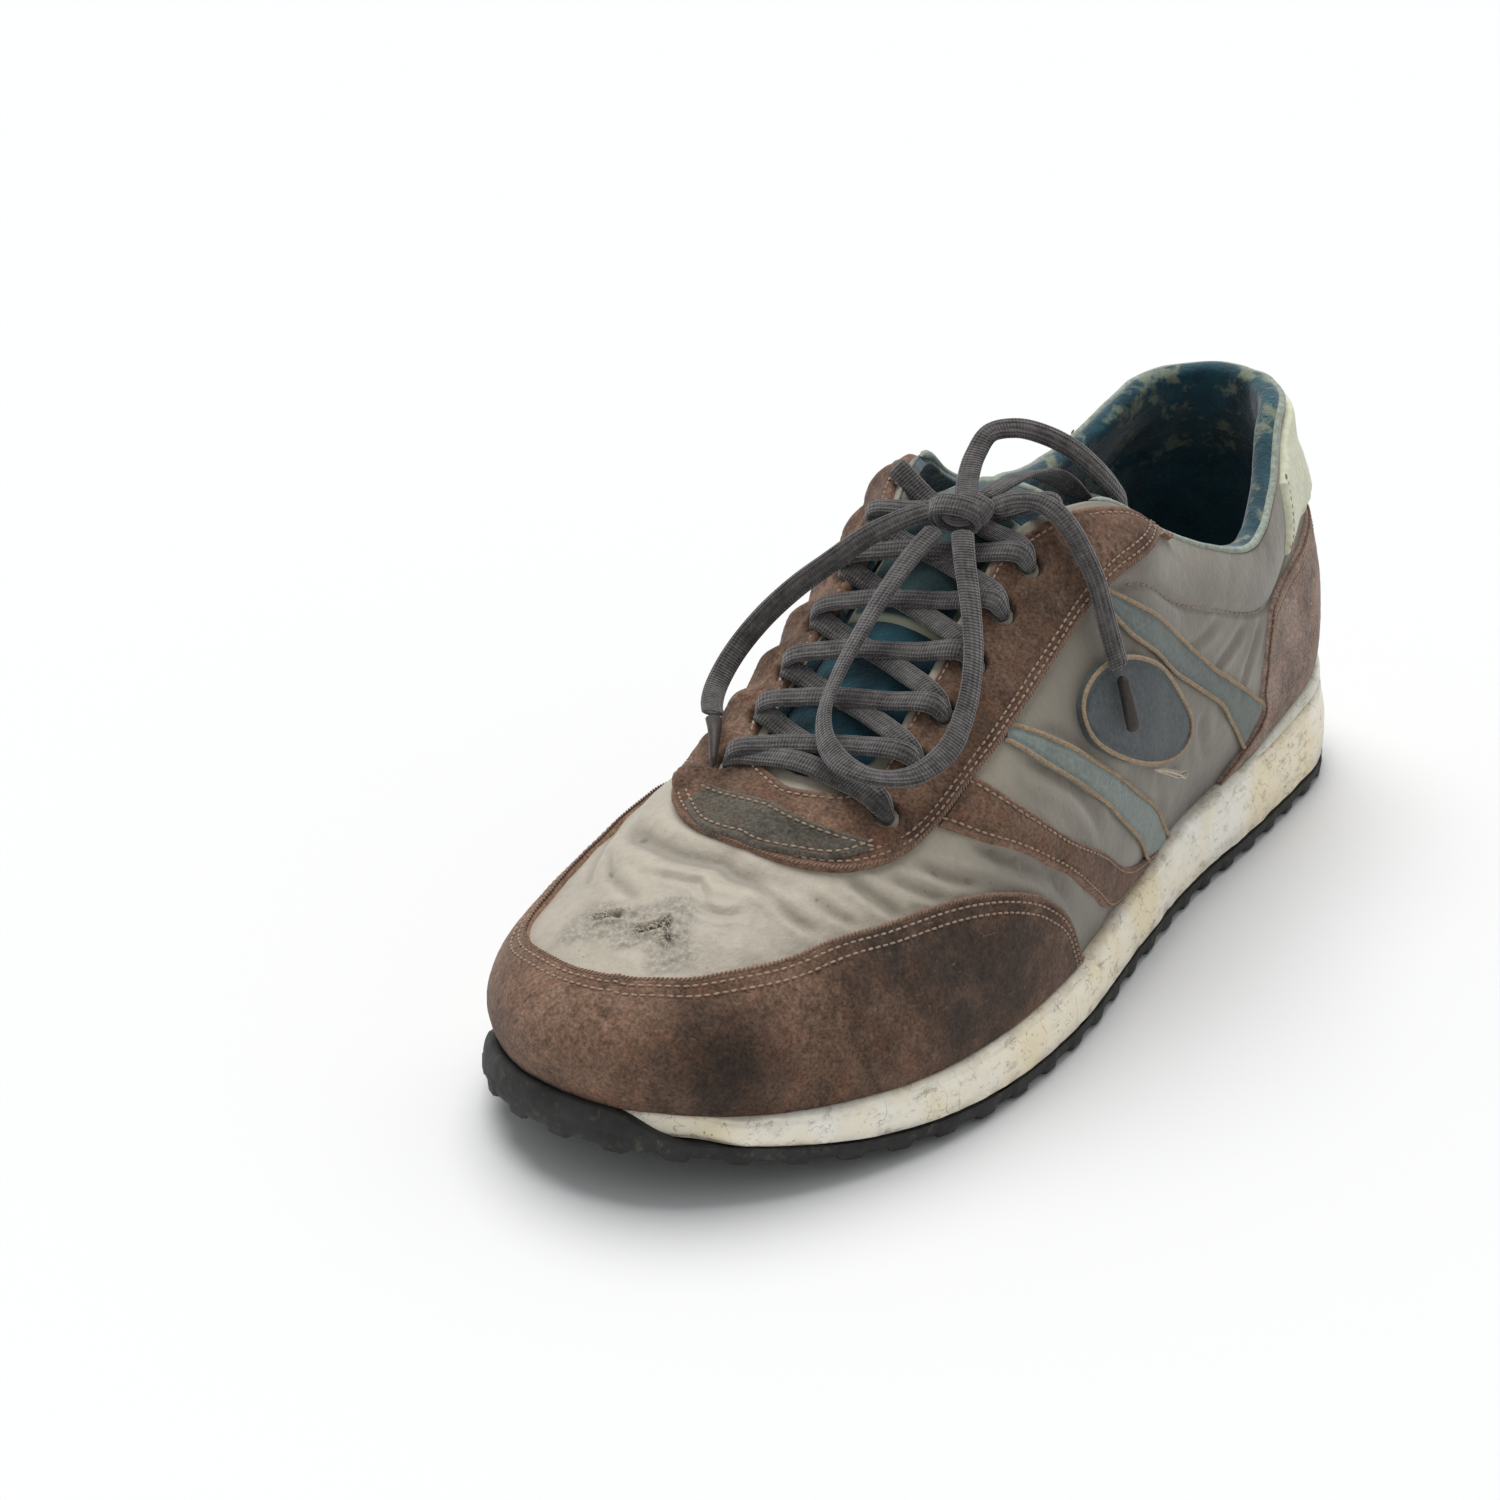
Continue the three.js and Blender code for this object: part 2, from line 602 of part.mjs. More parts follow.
// The wedge fills the step between midsole and upper, from the heel's back forward
function heelWedge() {
  const end = (WEDGE_COLUMNS * 2 * PI) / TURNS;
  const turns = turnsBetween(-end, end, 2 * WEDGE_COLUMNS).map((turn) => (turn < 0 ? turn + 2 * PI : turn));
  const profile = (turn) => {
    const s = stationOf(turn);
    const low = midsoleTop(turn) + GAP;
    const top = along(FOOT_HEIGHT, s) - GAP;
    const bed = min(along(BED_HEIGHT, s), top);
    return [
      edge(turn, -INSET - WALL - 0.2, low),
      edge(turn, soleGrow(turn, 1) - 0.2, low),
      edge(turn, -0.9, top),
      edge(turn, -INSET - WALL - 0.2, max(top, bed)),
    ];
  };
  const rows = soleSkin(turns, profile);
  const skin = new Skin();
  skin.grid([...rows, rows[0]]);
  const last = turns.length - 1;
  for (const [c, sign] of [[0, 1], [last, -1]]) {
    const corners = rows.map((row) => row[c]);
    const [a, b] = [[corners[0], corners[1]], [corners[3], corners[2]]];
    if (sign > 0) skin.strip(a, b);
    else skin.strip(b, a);
  }
  return skin.geometry();
}

function insole() {
  const turns = turnsBetween(0, 2 * PI, TURNS);
  const grow = -INSET - WALL - 3.4;
  const profile = (turn) => {
    const s = stationOf(turn);
    const lowAt = (station) => along(BED_HEIGHT, station) + 0.1;
    const topAt = (station) => lowAt(station) + INSOLE;
    const middleLow = middlePoint(turn, lowAt);
    const lowEdge = edge(turn, grow, lowAt(s));
    const topEdge = edge(turn, grow, topAt(s) + 0.6);
    return [
      middleLow,
      between(middleLow, lowEdge, 0.5),
      lowEdge,
      topEdge,
      between(topEdge, middlePoint(turn, topAt), 0.3),
      middlePoint(turn, topAt),
    ];
  };
  const skin = new Skin();
  skin.grid(soleSkin(turns, profile));
  return skin.geometry();
}

// Outsole: a rubber plate with cross grooves, carried up over the toe as a bumper
function bumperReach(turn) {
  return turn < PI ? smooth((turn - 2.8) / 0.25) : smooth((stationOf(turn) - 0.885) / 0.075);
}

function outsolePlate() {
  const turns = turnsBetween(0, 2 * PI, TURNS);
  const profile = (turn) => {
    const s = stationOf(turn);
    const topAt = (station) => groundAt(station) + OUTSOLE;
    const low = groundAt(s);
    const top = topAt(s);
    const reach = bumperReach(turn);
    const crest = top + (along(FOOT_HEIGHT, s) - GAP - top) * reach + 0.02;
    const face = FLARE * (1 - reach);
    const middleLow = middlePoint(turn, groundAt);
    const out = edge(turn, FLARE - 1.2, low);
    const step = edge(turn, min(soleGrow(turn, 0) + GAP, FLARE - 0.2), top);
    return [
      middleLow,
      between(middleLow, out, 0.6),
      out,
      edge(turn, FLARE, low + 1.6),
      edge(turn, FLARE, top),
      edge(turn, face, crest),
      edge(turn, min(soleGrow(turn, reach) + GAP, face - 0.1), crest),
      step,
      between(step, middlePoint(turn, topAt), 0.4),
      middlePoint(turn, topAt),
    ];
  };
  const skin = new Skin();
  skin.grid(soleSkin(turns, profile));
  return skin.geometry();
}

function outsole() {
  const grooves = [];
  const groove = (y, wide) => {
    const z = groundAt(stationAt(y));
    const tilt = (groundAt(stationAt(y - 2)) - groundAt(stationAt(y + 2))) / 4;
    const box = new THREE.BoxGeometry(140, wide, 10);
    box.translate(0, 0, LUG - 5);
    box.rotateX(-Math.atan(tilt));
    box.translate(0, y, z);
    return box;
  };
  for (const y of [118, 98, 78]) {
    grooves.push(groove(y, 4));
  }
  grooves.push(groove(24, 52));
  for (let i = 0; i < 8; i += 1) {
    grooves.push(groove(-18 - 15 * i, 4));
  }
  return cut(outsolePlate(), grooves);
}

// Tongue: a padded strip under the throat, arched across
function tongueTop(x, y) {
  return along(TONGUE_CREST, y) - TONGUE_FALL * x * x;
}

function tongue() {
  const ys = [-88, -80, -70, -60, -50, -40, -30, -20, -10, 0, 8, 14, 18];
  const across = turnsBetween(-1, 1, 6);
  const point = (y, share, drop) => {
    const x = share * along(TONGUE_HALF, y) + along(MIDDLE, stationAt(y));
    return new THREE.Vector3(x, y, tongueTop(x, y) - drop);
  };
  const thickness = (y, share) => 2 + (TONGUE - 2) * (1 - share ** 4);
  const top = ys.map((y) => across.map((share) => point(y, share, 0)));
  const under = ys.map((y) => across.map((share) => point(y, share, thickness(y, share))));
  const last = ys.length - 1;
  const column = (grid, c) => grid.map((row) => row[c]);
  const skin = new Skin();
  skin.grid([...top].reverse());
  skin.grid(under);
  skin.strip(top[0], under[0]);
  skin.strip(under[last], top[last]);
  skin.strip(column(under, 0), column(top, 0));
  skin.strip(column(top, 6), column(under, 6));
  return skin.geometry();
}

// Cords: plain tubes along a smooth curve
function tube(points, steps) {
  const through = points.map((p) => (Array.isArray(p) ? new THREE.Vector3(...p) : p));
  const path = new THREE.CatmullRomCurve3(through);
  const section = new THREE.Shape();
  section.absarc(0, 0, LACE / 2, 0, 2 * PI, false);
  return new THREE.ExtrudeGeometry(section, { extrudePath: path, steps, curveSegments: 4 });
}

// The lacing: a bar across the bottom, then crossings up to the top pair of eyelets. Each strand
// goes from eyelet to eyelet over both edges of the throat, and hangs a little between them.
function laceBars() {
  const lift = GAP + OVERLAY + LACE / 2 + 1.85;
  const above = ({ point, normal }, height) => point.clone().addScaledVector(normal, height);
  const strand = (sign, from, to, raised) => {
    const [fromY, toY] = [EYELET_Y[from], EYELET_Y[to]];
    const [near, far] = [EYELET_OUT[sign], EYELET_OUT[-sign]];
    const yAt = (x) => fromY + ((toY - fromY) * (near - x)) / (near + far);
    const rest = max(tongueTop(0, yAt(0)) + LACE / 2 + 1.2, RIDGE_FRONT.z + lift);
    const hang = new THREE.Vector3(0, yAt(0), rest + raised);
    const points = [
      above(faceAt(sign, near + 0.8, fromY), lift + raised),
      above(faceAt(sign, THROAT_HALF + 1.5, yAt(THROAT_HALF + 1.5)), lift + raised),
      hang,
      above(faceAt(-sign, THROAT_HALF + 1.5, yAt(-THROAT_HALF - 1.5)), lift + raised),
      above(faceAt(-sign, far + 0.8, toY), lift + raised),
    ];
    return tube(points, 5);
  };
  const pieces = [strand(1, 0, 0, 0)];
  for (let i = 0; i + 1 < EYELET_Y.length; i += 1) {
    pieces.push(strand(-1, i, i + 1, 0.5));
    pieces.push(strand(1, i, i + 1, 0.2));
  }
  return join(pieces);
}

function laceKnot() {
  const knot = new THREE.SphereGeometry(1, 10, 7);
  knot.scale(5.2, 5, 3.6);
  knot.translate(...KNOT);
  return knot;
}

const BROWN = { color: 0x6b5046, roughness: 0.92, metalness: 0 };
const LACE_GREY = { color: 0x4c4845, roughness: 0.95, metalness: 0 };

const shoe = new THREE.Group();
shoe.position.set(...SHIFT);

function add(name, geometry, look) {
  const mesh = new THREE.Mesh(geometry, new THREE.MeshStandardMaterial(look));
  mesh.name = name;
  shoe.add(mesh);
}

const punches = eyeletPunches();
add("outsole", outsole(), { color: 0x2b2d2a, roughness: 0.8, metalness: 0 });
add("midsole", midsole(), { color: 0xd8cfae, roughness: 0.7, metalness: 0 });
add("heel_wedge", heelWedge(), { color: 0x8b9497, roughness: 0.8, metalness: 0 });
add("insole", insole(), { color: 0x25322f, roughness: 0.95, metalness: 0 });
add("upper", cut(upperForm(0, wallAt), punches), { color: 0x7a7265, roughness: 0.75, metalness: 0 });
add("tongue", tongue(), { color: 0x2f3a3c, roughness: 0.9, metalness: 0 });
add("mudguard", mudguard(), BROWN);
add("eyestay", cut(eyestayBlank(), [cutter(), ...punches]), BROWN);
add("heel_counter", heelCounter(), BROWN);
add("heel_tab", heelTab(), { color: 0xb9b594, roughness: 0.85, metalness: 0 });
add("lace_bars", laceBars(), LACE_GREY);
add("lace_knot", laceKnot(), LACE_GREY);
add("lace_loop_front", tube(FRONT_LOOP, 24), LACE_GREY);
add("lace_loop_back", tube(BACK_LOOP, 24), LACE_GREY);
add("lace_end_medial", tube(MEDIAL_END, 14), LACE_GREY);
add("lace_end_lateral", tube(LATERAL_END, 14), LACE_GREY);
add("aglet_medial", tube(MEDIAL_AGLET, 3), { color: 0x3a3533, roughness: 0.6, metalness: 0 });
add("aglet_lateral", tube(LATERAL_AGLET, 3), { color: 0x3a3533, roughness: 0.6, metalness: 0 });

export default shoe;
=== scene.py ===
"""A worn low-cut sneaker for the left foot, built round its CAD frame.

Lengths in the first half are millimetres in the shoe's own axes: the toe points along -Y, the
lateral side is +X, and +Z is up. A finished piece is in metres, at the frame's place.
"""

import math

import bmesh
import bpy
import numpy as np
from bpy.props import FloatProperty, FloatVectorProperty, PointerProperty
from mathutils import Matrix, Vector


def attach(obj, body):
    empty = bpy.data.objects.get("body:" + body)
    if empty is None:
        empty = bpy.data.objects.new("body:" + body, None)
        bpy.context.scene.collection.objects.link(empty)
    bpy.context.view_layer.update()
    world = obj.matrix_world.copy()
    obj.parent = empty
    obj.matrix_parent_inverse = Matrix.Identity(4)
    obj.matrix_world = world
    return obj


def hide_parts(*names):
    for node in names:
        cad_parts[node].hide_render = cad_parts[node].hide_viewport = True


bl_info = {
    "name": "Worn Sneaker",
    "version": (1, 0, 0),
    "blender": (4, 5, 0),
    "location": "View3D > Sidebar > Sneaker",
    "description": "Builds a worn low-cut sneaker round its CAD frame",
    "category": "Object",
}

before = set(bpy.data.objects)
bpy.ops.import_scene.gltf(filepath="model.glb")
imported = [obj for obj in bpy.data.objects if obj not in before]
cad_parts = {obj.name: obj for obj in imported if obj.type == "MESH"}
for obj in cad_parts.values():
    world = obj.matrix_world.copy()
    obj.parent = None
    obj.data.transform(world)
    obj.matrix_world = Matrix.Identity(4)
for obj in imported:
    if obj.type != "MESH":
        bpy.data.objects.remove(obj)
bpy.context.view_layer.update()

TURN = 2 * math.pi

# Driving dimensions, the same as the CAD model's
LENGTH = 300.0
WALL = 2.5
COLLAR_PAD = 3.5
INSET = 3.0
FLARE = 2.0
OUTSOLE = 4.5
LUG = 2.2
BUMPER = 2.2
GAP = 0.3
WEDGE = 5.0
INSOLE = 4.0
TONGUE = 4.0
THROAT_HALF = 15.0
SHIFT = np.array([1.4, 0.1, 0.0])

# The last's sections: s runs from 0 at the heel to 1 at the toe, and each list holds (s, mm)
LATERAL = {
    "toe_cap": 0.7,
    "sole": [(0, 36), (0.12, 39), (0.25, 41), (0.38, 41.5), (0.5, 46), (0.62, 51.5), (0.75, 52), (1, 48)],
    "rim": [(0, 20), (0.1, 23), (0.18, 31), (0.27, 36), (0.35, 34), (0.42, 30), (0.48, 26), (0.54, 19),
            (0.6, 12), (0.68, 5), (1, 0)],
    "rim_height": [(0, 101), (0.1, 97), (0.18, 85), (0.26, 78.5), (0.35, 86), (0.42, 96.5), (0.48, 108),
                   (0.54, 109), (0.6, 101), (0.68, 86), (0.76, 70), (0.82, 61.5), (0.88, 57),
                   (0.94, 53), (1, 49)],
    "low_out": [(0, 4), (0.2, 2), (0.5, 2), (0.8, 3), (0.92, 4), (1, 7)],
    "low_up": [(0, 24), (0.2, 18), (0.4, 24), (0.6, 26), (0.8, 20), (1, 17)],
    "high_out": [(0, 3), (0.2, 5), (0.3, 8), (0.4, 13), (0.5, 20), (0.6, 28), (0.7, 34), (0.8, 36),
                 (0.9, 30), (1, 22)],
}
MEDIAL = {
    "toe_cap": 0.79,
    "sole": [(0, 36), (0.12, 37), (0.3, 35), (0.45, 36.5), (0.6, 44), (0.75, 52.5), (1, 49)],
    "rim": [(0, 20), (0.1, 23), (0.18, 29), (0.27, 31), (0.35, 29), (0.42, 26), (0.48, 23), (0.54, 17),
            (0.6, 11), (0.68, 5), (1, 0)],
    "rim_height": [(0, 101), (0.1, 96), (0.18, 86), (0.26, 84), (0.35, 90), (0.42, 99), (0.48, 110),
                   (0.54, 110), (0.6, 101), (0.68, 86), (0.76, 70), (0.82, 61.5), (0.88, 57),
                   (0.94, 53), (1, 49)],
    "low_out": [(0, 4), (0.2, 2), (0.5, 1), (0.8, 4), (0.92, 8), (1, 7)],
    "low_up": [(0, 24), (0.2, 18), (0.4, 24), (0.6, 24), (0.8, 19), (1, 17)],
    "high_out": [(0, 3), (0.2, 5), (0.3, 7), (0.4, 10), (0.5, 15), (0.6, 22), (0.7, 31), (0.8, 36),
                 (0.9, 30), (1, 22)],
}
MIDDLE = [(0, 0), (0.5, 0), (0.8, -1.5), (1, -7)]
FOOT_HEIGHT = [(0, 34), (0.12, 29), (0.25, 24), (0.4, 20.5), (0.55, 17.5), (0.7, 16), (0.85, 16.5),
               (0.94, 18.5), (1, 21.5)]
BED_HEIGHT = [(0, 25), (0.15, 22), (0.4, 17), (0.6, 13.5), (0.8, 13), (0.92, 15), (1, 18.5)]
UNDERSIDE = [(0, 6), (0.05, 1.8), (0.1, 0), (0.72, 0), (0.8, 1.2), (0.86, 3), (1, 12)]
RIM_STATION = [(0, 0.037), (0.1, 0.105), (0.2, 0.19), (0.27, 0.25), (0.35, 0.33), (0.42, 0.395),
               (0.48, 0.45), (0.54, 0.51), (0.6, 0.57), (0.68, 0.65), (0.76, 0.73), (0.82, 0.785),
               (0.88, 0.835), (0.94, 0.88), (1, 0.91)]
HIGH_DROP = [(0, 22), (0.2, 18), (0.3, 20), (0.4, 20), (0.5, 14), (0.6, 7), (0.7, 3), (0.78, 0), (1, 0)]
HEEL_CAP = 0.13
COLLAR_CAP = 0.1
CAP_POWER = 2.15
CLOSING = 0.1
THROAT_COLUMN = 22 * TURN / 64
RIDGE_STATION = (1 - math.cos(THROAT_COLUMN)) / 2

EYELET_Y = [-73.7, -60.9, -49.8, -37.4, -25.2, -13.7, -0.5]
EYELET_OUT = {1: 22.0, -1: 18.6}
TONGUE_CREST = [(-88, 56.5), (-80, 60.4), (-70, 65.2), (-60, 72.2), (-50, 78.6), (-40, 84.8),
                (-30, 91.4), (-20, 98), (-10, 103.2), (0, 106.4), (10, 107.4), (18, 106.4)]
TONGUE_HALF = [(-88, 16), (-60, 19), (0, 21), (12, 21), (18, 17)]
TONGUE_FALL = 0.0185


# ---------------------------------------------------------------- the last's surface

def clamp(x, low=0.0, high=1.0):
    return np.clip(x, low, high)


def smooth(x):
    t = clamp(x)
    return t * t * (3 - 2 * t)


def steady(vectors):
    return vectors / np.maximum(np.linalg.norm(vectors, axis=-1, keepdims=True), 1e-9)


def run_of(points):
    """The length along a line of points, up to each of them."""
    return np.concatenate([[0], np.cumsum(np.linalg.norm(np.diff(points, axis=0), axis=1))])


def fold_of(turn):
    """How far round from the heel, the same on both sides."""
    return np.where(turn > math.pi, TURN - turn, turn)


def squared(wave, power):
    """A sine or cosine pushed out towards a square wave."""
    return np.sign(wave) * np.abs(wave) ** power


def along(pairs, x):
    """A smooth curve through pairs, held level past its two ends."""
    knots = np.array([p[0] for p in pairs], float)
    values = np.array([p[1] for p in pairs], float)
    step = np.diff(knots)
    rise = np.diff(values) / step
    slope = np.empty(len(knots))
    slope[0], slope[-1] = rise[0], rise[-1]
    slope[1:-1] = (rise[:-1] * step[1:] + rise[1:] * step[:-1]) / (step[:-1] + step[1:])
    at = np.clip(np.asarray(x, float), knots[0], knots[-1])
    i = np.clip(np.searchsorted(knots, at, side="right") - 1, 0, len(knots) - 2)
    t = (at - knots[i]) / step[i]
    return ((2 * t**3 - 3 * t**2 + 1) * values[i] + (t**3 - 2 * t**2 + t) * step[i] * slope[i]
            + (3 * t**2 - 2 * t**3) * values[i + 1] + (t**3 - t**2) * step[i] * slope[i + 1])


def rounding(s, heel, toe, power):
    back = clamp(1 - s / heel)
    front = clamp((s - toe) / (1 - toe)) if toe < 1 else 0.0 * s
    return (1 - back**power) ** (1 / power) * (1 - front**power) ** (1 / power)


def station_of(turn):
    return (1 - np.cos(turn)) / 2


def y_of(s):
    return LENGTH / 2 - LENGTH * s


def station_at(y):
    return (LENGTH / 2 - y) / LENGTH


def ground_at(s):
    """Height of the tread's face: a bevel at the heel, flat on the ground, then the toe spring."""
    s = np.asarray(s, float)
    return np.where((s > 0.1) & (s < 0.72), 0.0, np.maximum(along(UNDERSIDE, s), 0))


def sided(key, turn, s):
    return np.where(np.sin(turn) >= 0, along(LATERAL[key], s), along(MEDIAL[key], s))


def plan_point(turn):
    turn = np.asarray(turn, float)
    s = station_of(turn)
    lateral = along(LATERAL["sole"], s) * rounding(s, HEEL_CAP, LATERAL["toe_cap"], CAP_POWER)
    medial = along(MEDIAL["sole"], s) * rounding(s, HEEL_CAP, MEDIAL["toe_cap"], CAP_POWER)
    half = np.where(np.sin(turn) >= 0, lateral, -medial)
    return np.stack([along(MIDDLE, s) + half, y_of(s)], -1)


def plan_normal(turn):
    """The way out from the sole's edge, level."""
    e = 2e-3
    t = plan_point(turn + e) - plan_point(turn - e)
    n = np.stack([-t[..., 1], t[..., 0]], -1)
    return n / np.linalg.norm(n, axis=-1, keepdims=True)


def edge(turn, grow, z):
    """The sole's plan outline, moved out by grow, at height z."""
    p = plan_point(turn) + plan_normal(turn) * np.asarray(grow, float)[..., None]
    return np.concatenate([p, np.broadcast_to(z, p.shape[:-1])[..., None]], -1)


def rib(turn):
    """The four control points of the upper's outline at a turn, from the sole to the rim."""
    s = station_of(turn)
    n = plan_normal(turn)
    foot = edge(turn, -INSET, along(FOOT_HEIGHT, s))
    station = along(RIM_STATION, s)
    drawn = 1 - smooth((s - RIDGE_STATION + CLOSING) / CLOSING)
    half = sided("rim", turn, s) * rounding(s, COLLAR_CAP, 1, 2) * drawn
    sign = np.where(np.sin(turn) >= 0, 1.0, -1.0)
    height = sided("rim_height", turn, s)
    top = np.stack([along(MIDDLE, station) + sign * half, y_of(station), height], -1)
    e = 1e-3
    ahead, behind = clamp(s + e), clamp(s - e)
    climb = sided("rim_height", turn, ahead) - sided("rim_height", turn, behind)
    run = y_of(along(RIM_STATION, ahead)) - y_of(along(RIM_STATION, behind))
    closed = smooth((s - 0.62) / 0.14)
    low_out, high_out = sided("low_out", turn, s), sided("high_out", turn, s)
    low = foot + np.stack([n[..., 0] * low_out, n[..., 1] * low_out, sided("low_up", turn, s)], -1)
    lean = n[..., 1] * high_out * climb / run * closed - along(HIGH_DROP, s)
    high = top + np.stack([n[..., 0] * high_out, n[..., 1] * high_out, lean], -1)
    return foot, low, high, top


def face(turn, v):
    """The upper's plain outer face: v is 0 at the sole and 1 at the collar or the vamp's ridge."""
    turn, v = np.broadcast_arrays(np.asarray(turn, float), np.asarray(v, float))
    foot, low, high, top = rib(turn)
    v = v[..., None]
    return (1 - v) ** 3 * foot + 3 * (1 - v) ** 2 * v * low + 3 * (1 - v) * v * v * high + v**3 * top


def side_normal(turn, v):
    e = 2e-3
    up = face(turn, np.minimum(v + e, 1)) - face(turn, np.maximum(v - e, 0))
    around = face(turn + e, v) - face(turn - e, v)
    n = np.cross(up, around)
    return n / np.linalg.norm(n, axis=-1, keepdims=True)


def face_normal(turn, v):
    """The face's normal, shared on the ridge where the two sides meet."""
    turn, v = np.broadcast_arrays(np.asarray(turn, float), np.asarray(v, float))
    n = side_normal(turn, v)
    ridge = (v > 0.9999) & (station_of(turn) > RIDGE_STATION - 1e-6)
    if ridge.any():
        both = n[ridge] + side_normal(TURN - turn[ridge], v[ridge])
        n[ridge] = both / np.linalg.norm(both, axis=-1, keepdims=True)
    return n


THROAT_FRONT = float(face(THROAT_COLUMN, 1.0)[1])


def throat_half(y):
    t = clamp((THROAT_FRONT + 16 - y) / 16)
    return THROAT_HALF * np.sqrt(np.maximum(1 - t * t, 0))


def rib_top(turn):
    """How high up its rib the upper reaches: the collar, the ridge or the throat's edge."""
    turn = np.atleast_1d(np.asarray(turn, float))
    fold = fold_of(turn)

    def outside(v):
        p = face(turn, v)
        return np.abs(p[..., 0] - along(MIDDLE, station_at(p[..., 1]))) - throat_half(p[..., 1])

    low, high = np.full(turn.shape, 0.5), np.ones(turn.shape)
    for _ in range(24):
        mid = (low + high) / 2
        out = outside(mid) > 0
        low, high = np.where(out, mid, low), np.where(out, high, mid)
    whole = (fold > THROAT_COLUMN - 1e-6) | (fold < 1.5) | (outside(np.ones(turn.shape)) >= 0)
    return np.where(whole, 1.0, low)


def wall_at(turn, v):
    padded = smooth((v - 0.62) / 0.3) * smooth((0.46 - station_of(turn)) / 0.1)
    return WALL + COLLAR_PAD * padded


def over_ridge(fold, across):
    """A place counted from the vamp's ridge: across is 0 on it and above 0 on the lateral side."""
    fold, across = np.asarray(fold, float), np.asarray(across, float)
    return np.where(across >= 0, fold, TURN - fold), 1 - np.abs(across)


def face_at(sign, out, y):
    """(turn, v) of the upper's face over the plan point (sign * out, y)."""
    turn, v, e = 1.8, 0.85, 1e-3

    def at(a, b):
        return face(a if sign > 0 else TURN - a, b)

    for _ in range(30):
        p = at(turn, v)
        da, db = (at(turn + e, v) - p) / e, (at(turn, v + e) - p) / e
        dx, dy = sign * out - p[0], y - p[1]
        det = da[0] * db[1] - da[1] * db[0]
        turn += float(np.clip((dx * db[1] - dy * db[0]) / det, -0.1, 0.1))
        v = min(v + float(np.clip((da[0] * dy - da[1] * dx) / det, -0.1, 0.1)), 0.995)
    return (turn if sign > 0 else TURN - turn), v


def middle_point(turn, height_of):
    s = 0.06 + 0.88 * station_of(turn)
    return np.stack([along(MIDDLE, s), y_of(s), height_of(s)], -1)


def toe_share(turn):
    return np.where(turn < math.pi, smooth((turn - 2.66) / 0.14), smooth((station_of(turn) - 0.87) / 0.06))


def sole_grow(turn, height):
    """How far a sidewall stands out from the sole's edge, at a share of its height."""
    return FLARE * (1 - height) - (BUMPER + GAP) * toe_share(turn)


def wedge_drop(turn):
    fold = np.abs(np.where(turn > math.pi, turn - TURN, turn))
    end = 11 * TURN / 64
    share = clamp(1 - station_of(fold) / station_of(end))
    return np.where(fold < end, WEDGE * share + (GAP + 0.9) * smooth(share * 6), 0.0)


def midsole_top(turn):
    return along(FOOT_HEIGHT, station_of(turn)) - GAP - wedge_drop(turn)


def tongue_top(x, y):
    return along(TONGUE_CREST, y) - TONGUE_FALL * x * x


# ---------------------------------------------------------------- noise and creases

def value_noise(points, size, seed=0):
    """Smooth noise from -1 to 1 over points, with lumps about size across."""
    q = np.asarray(points, float) / size + 1000.0 + 17.0 * seed
    cell = np.floor(q).astype(np.int64)
    f = q - cell
    f = f * f * (3 - 2 * f)
    total = np.zeros(q.shape[:-1])
    for corner in range(8):
        step = np.array([corner & 1, (corner >> 1) & 1, (corner >> 2) & 1])
        c = cell + step
        h = (c[..., 0] * 73856093) ^ (c[..., 1] * 19349663) ^ (c[..., 2] * 83492791) ^ (seed * 2654435761)
        h = (h ^ (h >> 13)) * 1274126177 & 0xFFFFFFFF
        h = (h ^ (h >> 16)) & 0xFFFF
        weight = np.prod(np.where(step == 1, f, 1 - f), axis=-1)
        total += weight * (h / 32767.5 - 1)
    return total


def polyline(points, step=1.0):
    """Points a step apart along a smooth curve through the given ones."""
    points = np.asarray(points, float)
    chord = run_of(points)
    count = max(int(chord[-1] / step), 4)
    at = np.linspace(0, chord[-1], count * 4 + 1)
    fine = np.stack([along(list(zip(chord, points[:, k])), at) for k in range(points.shape[1])], -1)
    run = run_of(fine)
    even = np.linspace(0, run[-1], count + 1)
    return np.stack([np.interp(even, run, fine[:, k]) for k in range(points.shape[1])], -1)


def near_line(points, line, reach):
    """Distance of each point from a polyline, and how far along it, 0 to 1. Past reach it is only large."""
    flat = points.reshape(-1, 3)
    distance = np.full(len(flat), 1e3)
    share = np.zeros(len(flat))
    inside = np.all((flat > line.min(0) - reach) & (flat < line.max(0) + reach), axis=1)
    at = np.nonzero(inside)[0]
    if len(at):
        q = flat[at]
        best, where = np.full(len(at), 1e3), np.zeros(len(at))
        for i in range(len(line) - 1):
            a, d = line[i], line[i + 1] - line[i]
            t = clamp((q - a) @ d / max(d @ d, 1e-12))
            r = np.linalg.norm(q - a - t[:, None] * d, axis=1)
            closer = r < best
            best = np.where(closer, r, best)
            where = np.where(closer, (i + t) / (len(line) - 1), where)
        distance[at], share[at] = best, where
    return distance.reshape(points.shape[:-1]), share.reshape(points.shape[:-1])


